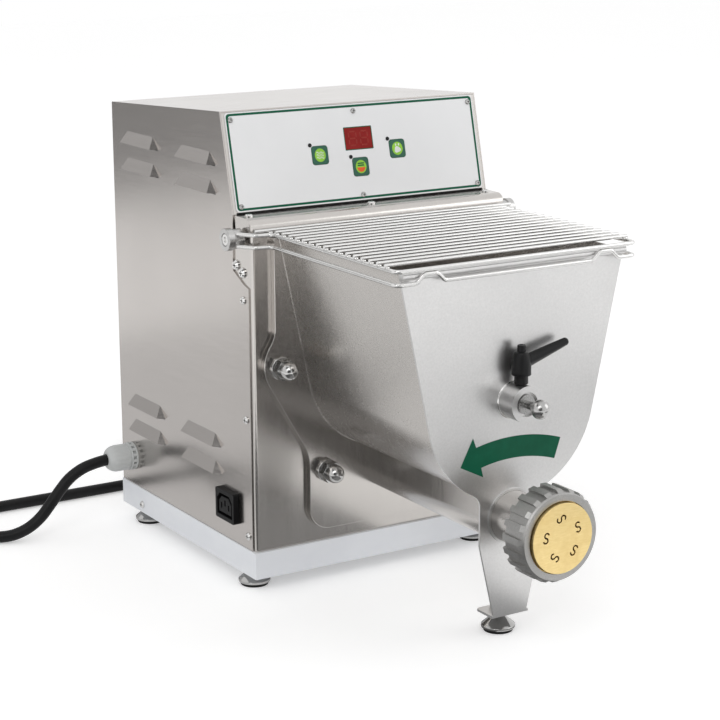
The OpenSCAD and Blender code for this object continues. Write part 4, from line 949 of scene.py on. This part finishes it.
class PASTAMAKER_OT_wire_lid(Operator):
    """Hinged lid of bent frame wires, cross wires, weld spots and hubs"""

    bl_idname = "pastamaker.wire_lid"
    bl_label = "Wire lid"

    UPPER_Z, LOWER_Z = 0.3163, 0.3060
    HALF_WIDTH = 0.115
    FRONT_Y = -0.20055
    BUMPS_X = (-0.084, 0.084)
    # Cross wires: the first and the last one's place from front to back, and how many
    FIRST_Y, LAST_Y, WIRES = -0.18705, -0.0078, 17

    def execute(self, context):
        sizes = context.scene.pasta_lid
        side = self.HALF_WIDTH
        mesh_data = bmesh.new()
        for height in (self.UPPER_Z, self.LOWER_Z):
            half = [(-0.138, 0.0070, height), (-0.129, -0.0078, height),
                    (-side, -0.0108, height), (-side, self.FRONT_Y, height)]
            bumps = []
            if height == self.LOWER_Z:
                for centre in self.BUMPS_X:
                    bumps += [(centre + x, self.FRONT_Y, height + rise) for x, rise in
                              ((-0.013, 0), (-0.006, 0.0067), (0.006, 0.0067), (0.013, 0))]
            path = half + bumps + [(-x, y, z) for x, y, z in reversed(half)]
            swept(mesh_data, rounded_corners(path, sizes.bend, 8), sizes.wire, 20)
        frame_wires = to_object("lid_frame_wires", mesh_data, "ledge", "lid")
        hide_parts("lid_frame")
        dress("lid_wires", "ledge", 0.0003)
        dress("hinge_hubs", "hub", 0.0004)
        dress("hinge_pins", "polished", 0.0003)
        self.welds(sizes)
        return {"FINISHED"}

    def welds(self, sizes):
        """A small spot where each cross wire lies on the frame."""
        rise, flattened = 0.0017, Matrix.Diagonal((1.15, 1.0, 0.55, 1))
        profile = [(sizes.weld * math.sin(t), sizes.weld * math.cos(t))
                   for t in angles(-90, 90, 8)]
        mesh_data = bmesh.new()
        for i in range(self.WIRES):
            y = self.FIRST_Y + (self.LAST_Y - self.FIRST_Y) * i / (self.WIRES - 1)
            for x in (-self.HALF_WIDTH, self.HALF_WIDTH):
                spot = Matrix.Translation((x, y, self.UPPER_Z + rise)) @ flattened
                turned(mesh_data, profile, spot, 12)
        to_object("lid_weld_spots", mesh_data, "ledge", "lid")


class PASTAMAKER_OT_fasteners(Operator):
    """Screws, studs, washers and cap nuts"""

    bl_idname = "pastamaker.fasteners"
    bl_label = "Screws and nuts"

    def execute(self, context):
        dress("label_screws", "dark polished", 0.0002)
        dress("panel_screws", "polished", 0.0002)
        for node in ("bowl_studs", "stud_washers"):
            dress(node, "polished", 0.0004)
        dress("cap_nuts", "nut", 0.0004, 25)
        return {"FINISHED"}


class PASTAMAKER_OT_bowl(Operator):
    """Mixing bowl, its weld seams and the arrow on its front plate"""

    bl_idname = "pastamaker.bowl"
    bl_label = "Mixing bowl"

    def execute(self, context):
        edge = context.scene.pasta_steel.edge
        dress("bowl_shell", "trough", edge)
        dress("bowl_front_plate", "bowl", edge)
        dress("bowl_rear_plate", "cover", edge)
        dress("mixer_paddle", "cover", 0.0004)
        self.seams()
        self.arrow(context.scene.pasta_label.ink)
        return {"FINISHED"}

    def seams(self):
        """Thin weld beads along both ends of the trough and around the boss."""
        mesh_data = bmesh.new()
        lean, radius, centre, rim = math.radians(12.29), 0.0790, 0.1975, 0.3115
        for y in (-0.1919, -0.0061):
            start = Vector((radius * math.cos(lean), y, centre - radius * math.sin(lean)))
            top = start + Vector((math.sin(lean), 0, math.cos(lean))) * (
                (rim - start.z) / math.cos(lean))
            arc = [Vector((radius * math.cos(t), y, centre + radius * math.sin(t)))
                   for t in [-lean - (math.pi - 2 * lean) * k / 48 for k in range(49)]]
            path = [top, *arc, Vector((-top.x, y, top.z))]
            swept(mesh_data, path, 0.0006, 10)
        to_object("bowl_seams", mesh_data, "trough", "cabinet")
        mesh_data = bmesh.new()
        boss, bead = 0.0150, 0.0008
        loop = [(bead * math.sin(t), boss + bead * math.cos(t)) for t in angles(-90, 90, 6)]
        turned(mesh_data, [(-0.001, boss - bead), *loop, (0.001, boss - bead)],
               facing_front((0, PLATE_FACE_Y, BOSS_Z)), 64)
        to_object("boss_weld", mesh_data, "polished", "cabinet")

    def arrow(self, ink):
        """Curved direction arrow, a thin print on the front plate."""
        centre, outer, inner = (-0.0005, 0.020), 0.14965, 0.13167
        band = [(outer, t) for t in angles(-13.55, 18.8, 24)]
        band += [(inner, t) for t in angles(18.8, -13.2, 24)]
        head = [(-0.0285, 0.1400), (-0.0506, 0.1512), (-0.0388, 0.1737)]
        outline = [(centre[0] + r * math.sin(t), centre[1] + r * math.cos(t)) for r, t in band]
        outline += head
        mesh_data = bmesh.new()
        prism(mesh_data, outline, Matrix.Identity(4), PLATE_FACE_Y - 2 * ink,
              PLATE_FACE_Y + 0.0001)
        to_object("turning_arrow", mesh_data, "border", "cabinet")


class PASTAMAKER_OT_extruder(Operator):
    """Barrel, auger, brass die and ribbed ring nut"""

    bl_idname = "pastamaker.extruder"
    bl_label = "Extruder"

    def execute(self, context):
        dress("extrusion_barrel", "barrel", 0.0004)
        dress("feed_auger", "cover", 0.0003)
        dress("extrusion_die", "brass", 0.00025)
        dress("ring_nut", "cast", 0.0006, 20)
        return {"FINISHED"}


class PASTAMAKER_OT_locking_pin(Operator):
    """Locking pin with its ball"""

    bl_idname = "pastamaker.locking_pin"
    bl_label = "Locking pin"

    def execute(self, context):
        dress("locking_pin", "dark polished", 0.0003)
        return {"FINISHED"}


class PASTAMAKER_OT_clamp_lever(Operator):
    """Black clamp lever: fluted hub, tapered arm with a round end, button and stud"""

    bl_idname = "pastamaker.clamp_lever"
    bl_label = "Clamp lever"

    AXIS_Y, FOOT_Z, ARM_RISE = -0.204, 0.2153, 0.0165

    def execute(self, context):
        sizes = context.scene.pasta_lever
        foot = Matrix.Translation((0, self.AXIS_Y, self.FOOT_Z))
        hub = [(0, 0.0), (0, 0.0052), (0.0004, 0.0056), (0.0066, 0.0056), (0.0070, 0.0060),
               (0.0072, 0.0076), (0.0077, 0.0080), (0.0100, 0.0080), (0.0150, 0.0079),
               (0.0170, 0.0076), (0.0215, 0.0068), (0.0245, 0.0060), (0.0256, 0.0055),
               (0.0260, 0.0048), (0.0260, 0.0)]

        def flutes(height, turn):
            deep = max(0.0, 1 - abs(height - 0.0115) / 0.0040)
            return 1 - 0.055 * deep * (0.5 + 0.5 * math.cos(sizes.flutes * turn))

        mesh_data = bmesh.new()
        turned(mesh_data, hub, foot, 80, flutes)
        direction = Vector((math.cos(sizes.tilt), 0, math.sin(sizes.tilt)))
        root = Vector((0, self.AXIS_Y, self.FOOT_Z + self.ARM_RISE))
        steps = 16
        path = [root + direction * (sizes.reach * k / steps) for k in range(steps + 1)]

        def arm(i, turn):
            share = i / steps
            wide = 0.0022 * (1 - share) ** 0.8 + 0.0031
            tall = 0.0030 * (1 - share) ** 1.2 + 0.0032
            flat = 0.78
            c, s = math.cos(turn), math.sin(turn)
            return (math.copysign(abs(c) ** flat, c) * wide,
                    math.copysign(abs(s) ** flat, s) * tall)

        swept(mesh_data, path, 1.0, 28, arm)
        knob = 0.0033
        turned(mesh_data, [(knob * math.sin(t), knob * math.cos(t)) for t in angles(-90, 90, 12)],
               Matrix.Translation(path[-1]), 24)
        grip = to_object("clamp_lever_grip", mesh_data, "black", "lever", 45)
        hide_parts("clamp_lever")
        mesh_data = bmesh.new()
        button = [(0.0255, 0.0), (0.0255, 0.0035), (0.0308, 0.0035), (0.0315, 0.0030),
                  (0.0315, 0.0016), (0.0306, 0.0014), (0.0306, 0.0)]
        turned(mesh_data, button, foot, 32)
        turned(mesh_data, [(-0.0100, 0.0), (-0.0100, 0.0021), (-0.0096, 0.0025), (0.0002, 0.0025),
                           (0.0002, 0.0)], foot, 24)
        to_object("clamp_lever_stud", mesh_data, "black", "lever")
        return {"FINISHED"}


class PASTAMAKER_OT_feet(Operator):
    """Screw feet with rubber pads"""

    bl_idname = "pastamaker.feet"
    bl_label = "Feet"

    def execute(self, context):
        for place in ("front_left", "front_right", "rear_left", "rear_right", "bowl_leg"):
            dress("foot_" + place, "foot", 0.0003)
        dress("foot_pads", "rubber", 0.0004)
        return {"FINISHED"}


class PASTAMAKER_OT_mains(Operator):
    """Appliance socket, cable gland, mains cord with its coil, ties and plug"""

    bl_idname = "pastamaker.mains"
    bl_label = "Mains fittings"

    # The cord's way from the gland to the floor and along behind the cabinet
    ROUTE = ((-158, 239.5, 65.7), (-170, 239.5, 64.2), (-183.4, 239.5, 60.8),
             (-196.5, 239.5, 53.4), (-207, 239.5, 42.9), (-216.7, 239.5, 31.4),
             (-227, 239.5, 20.5), (-239.5, 239.8, 12.3), (-253.2, 242.8, 7.2),
             (-266.6, 249.2, 5.6), (-277.7, 259.2, 5.6), (-285, 272.3, 5.6),
             (-287.7, 286.9, 5.6), (-285.6, 301.7, 5.6), (-278.8, 315.1, 5.6),
             (-268.2, 325.5, 5.6), (-254.7, 332, 5.6), (-239.9, 334, 5.6), (-190, 334, 5.6),
             (-130, 334, 5.6), (-60, 334, 5.6), (10, 334, 5.6), (71, 334, 5.6))
    COIL_X = 0.085
    FLOOR_Z = 0.0056
    GLAND_PLACE = (-0.130, 0.2395, 0.0657)
    IN_GLAND = 0.0035
    # Degrees along the coil: its end and step, and where the cord goes inward, up and outward
    COIL_END, COIL_STEP = 1260, 12
    INWARD, CLIMB, OUTWARD = (300, 360), (630, 695), (950, 1030)
    # The straight end from the coil into the plug: a step, and its whole length
    TAIL_STEP, TAIL_LENGTH = 0.009, 0.029

    def execute(self, context):
        dress("power_outlet", "socket", 0.0003)
        sizes = context.scene.pasta_cord
        self.gland(sizes)
        behind = self.ROUTE[-1][1] * MM
        centre = Vector((self.COIL_X, behind + sizes.coil + sizes.pitch / 2, 0))
        route = [Vector(p) * MM for p in self.ROUTE]
        out_y = centre.y + sizes.coil + sizes.pitch / 2
        top_z = self.FLOOR_Z + sizes.pitch
        rest = self.coil(sizes, centre)
        rest += [Vector((self.COIL_X - self.TAIL_STEP * k, out_y, top_z)) for k in (1, 2)]
        rest += [Vector((self.COIL_X - self.TAIL_LENGTH, out_y, top_z + 0.0002))]
        path = smoothed(route, 4) + rest
        inside = route[0] + Vector((self.IN_GLAND, 0, 0))
        mesh_data = bmesh.new()
        swept(mesh_data, [inside] + path, sizes.radius, 24)
        cord = to_object("mains_cord_jacket", mesh_data, "jacket", "cabinet")
        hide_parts("mains_cord", "cord_coil")
        pieces = self.plug(out_y, top_z) + [self.tie(centre, sizes, a) for a in (-35, 145)]
        return {"FINISHED"}

    def gland(self, sizes):
        """Cable gland: notched ring on the panel, ribbed body, domed cap, and its nut inside."""
        bore = sizes.radius + 0.0001
        place = facing_left(self.GLAND_PLACE)
        profile = [(-0.0150, 0.0), (-0.0150, 0.0076), (-0.0146, 0.0080), (-0.0073, 0.0080),
                   (-0.0073, 0.0116), (-0.0070, 0.0120), (-0.0015, 0.0120), (-0.0012, 0.0116),
                   (-0.0012, 0.0080), (0, 0.0080), (0, 0.0130), (0.0003, 0.0133),
                   (0.0015, 0.0133), (0.0020, 0.0130), (0.0020, 0.0106), (0.0050, 0.0106),
                   (0.0050, 0.0130), (0.0054, 0.0133), (0.0060, 0.0132), (0.0064, 0.0116),
                   (0.0074, 0.0116), (0.0077, 0.0126), (0.0185, 0.0127), (0.0200, 0.0125),
                   (0.0225, 0.0119), (0.0248, 0.0108), (0.0266, 0.0094), (0.0277, 0.0078),
                   (0.0280, 0.0068), (0.0280, bore), (0.0240, bore), (0.0240, 0.0)]

        def ribs(height, turn):
            deep = min(1.0, max(0.0, min(height - 0.0073, 0.0215 - height) / 0.0012))
            return 1 - 0.045 * deep * (0.5 + 0.5 * math.cos(16 * turn)) ** 3

        mesh_data = bmesh.new()
        turned(mesh_data, profile, place, 96, ribs)
        bars = 15
        for k in range(bars):
            turn = Matrix.Rotation(2 * math.pi * k / bars, 4, "Z")
            bar = place @ turn @ Matrix.Translation((0.0119, 0, 0.0035))
            prism(mesh_data, [(-0.0018, -0.0018), (0.0013, -0.0018), (0.0013, 0.0018),
                              (-0.0018, 0.0018)], bar, -0.0013, 0.0013)
        body = to_object("cable_gland_body", mesh_data, "nylon", "cabinet", 30)
        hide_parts("cable_gland")

    def coil(self, sizes, centre):
        """Three and a half turns in two layers: outer, inner, up, inner and outer again."""
        outer = sizes.coil + sizes.pitch / 2

        def ease(value, start, end):
            f = min(1.0, max(0.0, (value - start) / (end - start)))
            return f * f * (3 - 2 * f)

        points = []
        for step in range(0, self.COIL_END + 1, self.COIL_STEP):
            radius = outer - sizes.pitch * ease(step, *self.INWARD)
            radius += sizes.pitch * ease(step, *self.OUTWARD)
            height = self.FLOOR_Z + sizes.pitch * ease(step, *self.CLIMB)
            turn = math.radians(step - 90)
            points.append(centre + Vector((radius * math.cos(turn), radius * math.sin(turn),
                                           height)))
        return points

    def plug(self, y, cord_z):
        """Round two-pin plug, lying on its side, with a ringed strain relief."""
        axis_z, end_x, back_x = 0.0183, 0.003, 0.039
        along = facing_left((back_x, y, axis_z))
        profile = [(0.0, 0.0), (0.0, 0.0080), (0.0010, 0.0100), (0.0040, 0.0122),
                   (0.0080, 0.0136), (0.0120, 0.0140), (0.0165, 0.0148), (0.0215, 0.0166),
                   (0.0260, 0.0176), (0.0300, 0.0180), (0.0350, 0.0180), (0.0358, 0.0176),
                   (0.0360, 0.0168), (0.0360, 0.0)]

        def grips(height, turn):
            deep = max(0.0, 1 - abs(height - 0.012) / 0.009)
            return 1 - 0.05 * deep * (0.5 + 0.5 * math.cos(18 * turn))

        mesh_data = bmesh.new()
        turned(mesh_data, profile, along, 72, grips)
        steps, length = 24, 0.0235
        path = [Vector((back_x + length * (1 - k / steps), y,
                        cord_z + (axis_z - cord_z) * (k / steps) ** 1.6)) for k in range(steps + 1)]

        def relief(i, turn):
            radius = 0.0060 + 0.0028 * (i / steps) + (0.0006 if i % 4 < 2 else 0.0)
            return radius * math.cos(turn), radius * math.sin(turn)

        swept(mesh_data, path, 1.0, 24, relief)
        body = to_object("mains_plug_body", mesh_data, "rubber", "cabinet")
        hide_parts("mains_plug")
        mesh_data = bmesh.new()
        for side in (-0.0095, 0.0095):
            pin = facing_left((end_x + 0.0005, y + side, axis_z))
            turned(mesh_data, [(0, 0), (0, 0.0024), (0.0180, 0.0024), (0.0190, 0.0019),
                               (0.0194, 0.0010), (0.0194, 0)], pin, 24)
        pins = to_object("mains_plug_pins", mesh_data, "pin metal", "cabinet")
        return [body, pins]

    def tie(self, centre, sizes, angle):
        """A woven strap around the coil's section."""
        turn = math.radians(angle)
        out = Vector((math.cos(turn), math.sin(turn), 0))
        along = Vector((-math.sin(turn), math.cos(turn), 0))
        place = Matrix.Translation(centre) @ Matrix(
            ((out.x, along.x, 0, 0), (out.y, along.y, 0, 0), (0, 0, 1, 0), (0, 0, 0, 1)))
        bundle = 2 * sizes.radius + sizes.pitch
        middle = 0.0002 + bundle / 2
        outer = rounded_box(bundle + 0.0021, bundle + 0.0011, 0.0045,
                            (sizes.coil, middle + 0.0004))
        inner = rounded_box(bundle + 0.0003, bundle + 0.0002, 0.0040, (sizes.coil, middle))
        mesh_data = bmesh.new()
        ring_prism(mesh_data, outer, inner, place, -0.006, 0.006)
        name = "cord_tie_front" if angle < 0 else "cord_tie_back"
        return to_object(name, mesh_data, "tie", "cabinet")


class PASTAMAKER_OT_drive(Operator):
    """Gearbox, motor, fan and the fittings inside the cabinet"""

    bl_idname = "pastamaker.drive"
    bl_label = "Drive and inner fittings"

    def execute(self, context):
        finishes = {
            "cast": ("gearbox_housing", "gearbox_cover"),
            "gear": ("mixer_gear", "auger_gear", "layshaft_gears", "motor_rotor",
                     "shaft_bearings"),
            "motor": ("motor_housing",),
            "black": ("fan_cover", "cooling_fan", "lid_switch"),
            "rubber": ("shaft_seals",),
            "nylon": ("terminal_block", "run_capacitor"),
            "board": ("control_board",),
        }
        for finish, nodes in finishes.items():
            for node in nodes:
                dress(node, finish)
        return {"FINISHED"}


class PASTAMAKER_OT_stage(Operator):
    """Pale floor, soft lamps, plain background and the camera"""

    bl_idname = "pastamaker.stage"
    bl_label = "Stage and camera"

    # Dark and grey cards that give the steel its contrast: name, place, size, target, shade
    CARDS = (
        ("Card behind the camera", (-1.75, -2.75, 0.9), (2.4, 2.6), (0, 0, 0.2), 0.05),
        ("Card over the left", (-1.27, -0.24, 1.9), (0.9, 0.9), (-0.13, 0.1, 0.3), 0.1),
        ("Card low at the left", (-0.26, -0.40, 0.003), (0.50, 0.70), (-0.26, -0.40, 1), 0.13),
        ("Card low at the right", (0.40, -0.70, 0.003), (0.50, 0.34), (0.40, -0.70, 1), 0.42),
        ("Card under the bowl", (-0.055, -0.20, 0.004), (0.21, 0.28), (-0.055, -0.20, 1), 0.3),
        ("Card beside the cabinet", (-0.53, 0.45, 0.003), (0.8, 1.0), (-0.53, 0.45, 1), 0.76),
        ("Card behind at the left", (-1.1, 2.0, 0.2), (3.0, 0.42), (-1.1, 0, 0.2), 0.32),
        ("Card above it", (-1.1, 2.0, 0.86), (3.0, 0.9), (-1.1, 0, 0.86), 0.55),
    )

    MACHINE_MIDDLE = (0, 0, 0.2)
    CAMERA_PLACE = (-0.9273154, -1.4576549, 0.6183286)
    # The camera's turn about the upright, across and along its view, in radians
    CAMERA_YAW, CAMERA_PITCH, CAMERA_ROLL = -0.5551952, -0.2419071, -0.0030667

    def execute(self, context):
        sizes = context.scene.pasta_stage
        context.scene.view_settings.view_transform = "Standard"
        self.floor(sizes)
        self.background(context, sizes)
        self.lamp("Key lamp", sizes.key, 2.2, (-2.3, -2.2, 2.6))
        self.lamp("Fill lamp", sizes.fill, 2.0, (2.6, -1.6, 1.8))
        for card in self.CARDS:
            self.card(*card)
        self.camera(context, sizes)
        return {"FINISHED"}

    def floor(self, sizes):
        mesh_data = bmesh.new()
        bmesh.ops.create_grid(mesh_data, x_segments=1, y_segments=1, size=6)
        mesh = bpy.data.meshes.new("floor")
        mesh_data.to_mesh(mesh)
        mesh_data.free()
        finish = Finish("Pale floor", roughness=0.9, specular=0.1)
        sight = finish.tree.nodes.new("ShaderNodeLightPath")
        seen = math_node(finish.tree, "MAXIMUM", sight.outputs["Is Camera Ray"],
                         sight.outputs["Is Glossy Ray"])
        seen = math_node(finish.tree, "MAXIMUM", seen, sight.outputs["Is Transmission Ray"])
        soft = finish.group(soft_marks(), Spread=(1.5, 1.5, 1.5), Amount=0.4)
        finish.feed("Base Color", finish.colours(sizes.floor[:], tinted(sizes.floor[:], 0.98),
                                                 soft.outputs["Mask"]))
        finish.shader.inputs["Emission Color"].default_value = (1, 1, 1, 1)
        finish.feed("Emission Strength", math_node(finish.tree, "MULTIPLY", seen, sizes.glow))
        mesh.materials.append(finish.material)
        floor = bpy.data.objects.new("floor", mesh)
        bpy.context.scene.collection.objects.link(floor)

    def background(self, context, sizes):
        """Even soft light; camera, glossy and transmission rays see plain white."""
        world = bpy.data.worlds.new("Plain white")
        context.scene.world = world
        world.use_nodes = True
        tree = world.node_tree
        sight = tree.nodes.new("ShaderNodeLightPath")
        seen = math_node(tree, "MAXIMUM", sight.outputs["Is Camera Ray"],
                         sight.outputs["Is Glossy Ray"])
        seen = math_node(tree, "MAXIMUM", seen, sight.outputs["Is Transmission Ray"])
        strength = map_range(tree, seen, 0, 1, sizes.sky, 1.0)
        sky = tree.nodes["Background"]
        sky.inputs["Color"].default_value = (1, 1, 1, 1)
        tree.links.new(strength, sky.inputs["Strength"])

    def lamp(self, name, power, size, place):
        """A large square lamp that points at the machine's middle."""
        data = bpy.data.lights.new(name, "AREA")
        data.shape = "SQUARE"
        data.size = size
        data.energy = power
        lamp = bpy.data.objects.new(name, data)
        lamp.location = place
        aim = Vector(self.MACHINE_MIDDLE) - Vector(place)
        lamp.rotation_euler = aim.to_track_quat("-Z", "Y").to_euler()
        bpy.context.scene.collection.objects.link(lamp)

    def card(self, name, place, size, target, shade):
        """A flat card that only reflections show."""
        mesh_data = bmesh.new()
        bmesh.ops.create_grid(mesh_data, x_segments=1, y_segments=1, size=0.5)
        mesh = bpy.data.meshes.new(name)
        mesh_data.to_mesh(mesh)
        mesh_data.free()
        finish = Finish(name, roughness=1.0, specular=0.0)
        finish.shader.inputs["Base Color"].default_value = (0, 0, 0, 1)
        finish.shader.inputs["Emission Color"].default_value = (1, 1, 1, 1)
        finish.shader.inputs["Emission Strength"].default_value = shade
        mesh.materials.append(finish.material)
        card = bpy.data.objects.new(name, mesh)
        card.location = place
        card.scale = (*size, 1)
        card.rotation_euler = (Vector(target) - Vector(place)).to_track_quat("Z", "Y").to_euler()
        card.visible_camera = card.visible_diffuse = card.visible_shadow = False
        card.visible_transmission = card.visible_volume_scatter = False
        bpy.context.scene.collection.objects.link(card)

    def camera(self, context, sizes):
        data = bpy.data.cameras.new("Camera")
        data.sensor_width = 36
        data.lens = sizes.lens
        data.clip_start, data.clip_end = 0.05, 50
        camera = bpy.data.objects.new("Camera", data)
        turn = (Matrix.Rotation(self.CAMERA_YAW, 3, "Z")
                @ Matrix.Rotation(math.pi / 2 + self.CAMERA_PITCH, 3, "X")
                @ Matrix.Rotation(self.CAMERA_ROLL, 3, "Z"))
        camera.rotation_euler = turn.to_euler()
        camera.location = self.CAMERA_PLACE
        context.scene.collection.objects.link(camera)
        context.scene.camera = camera


STEPS = (
    PASTAMAKER_OT_stage, PASTAMAKER_OT_mains, PASTAMAKER_OT_cabinet, PASTAMAKER_OT_base_tray,
    PASTAMAKER_OT_label, PASTAMAKER_OT_keys, PASTAMAKER_OT_wire_lid, PASTAMAKER_OT_fasteners,
    PASTAMAKER_OT_bowl, PASTAMAKER_OT_extruder, PASTAMAKER_OT_locking_pin,
    PASTAMAKER_OT_clamp_lever, PASTAMAKER_OT_feet, PASTAMAKER_OT_drive,
)


class PASTAMAKER_PT_steps(Panel):
    """The pieces in the order in which they are made"""

    bl_idname = "PASTAMAKER_PT_steps"
    bl_label = "Pasta Maker"
    bl_space_type = "VIEW_3D"
    bl_region_type = "UI"
    bl_category = "Pasta Maker"

    def draw(self, context):
        for step in STEPS:
            self.layout.operator(step.bl_idname)
        for group in SETTINGS:
            box = self.layout.box()
            settings = getattr(context.scene, group)
            for name in settings.__annotations__:
                box.prop(settings, name)


def register():
    for name, group in SETTINGS.items():
        bpy.utils.register_class(group)
        setattr(bpy.types.Scene, name, PointerProperty(type=group))
    for step in STEPS:
        bpy.utils.register_class(step)
    bpy.utils.register_class(PASTAMAKER_PT_steps)


def unregister():
    bpy.utils.unregister_class(PASTAMAKER_PT_steps)
    for step in reversed(STEPS):
        bpy.utils.unregister_class(step)
    for name, group in reversed(list(SETTINGS.items())):
        delattr(bpy.types.Scene, name)
        bpy.utils.unregister_class(group)


def main():
    register()
    for step in STEPS:
        area, name = step.bl_idname.split(".")
        getattr(getattr(bpy.ops, area), name)()


if __name__ == "__main__":
    main()
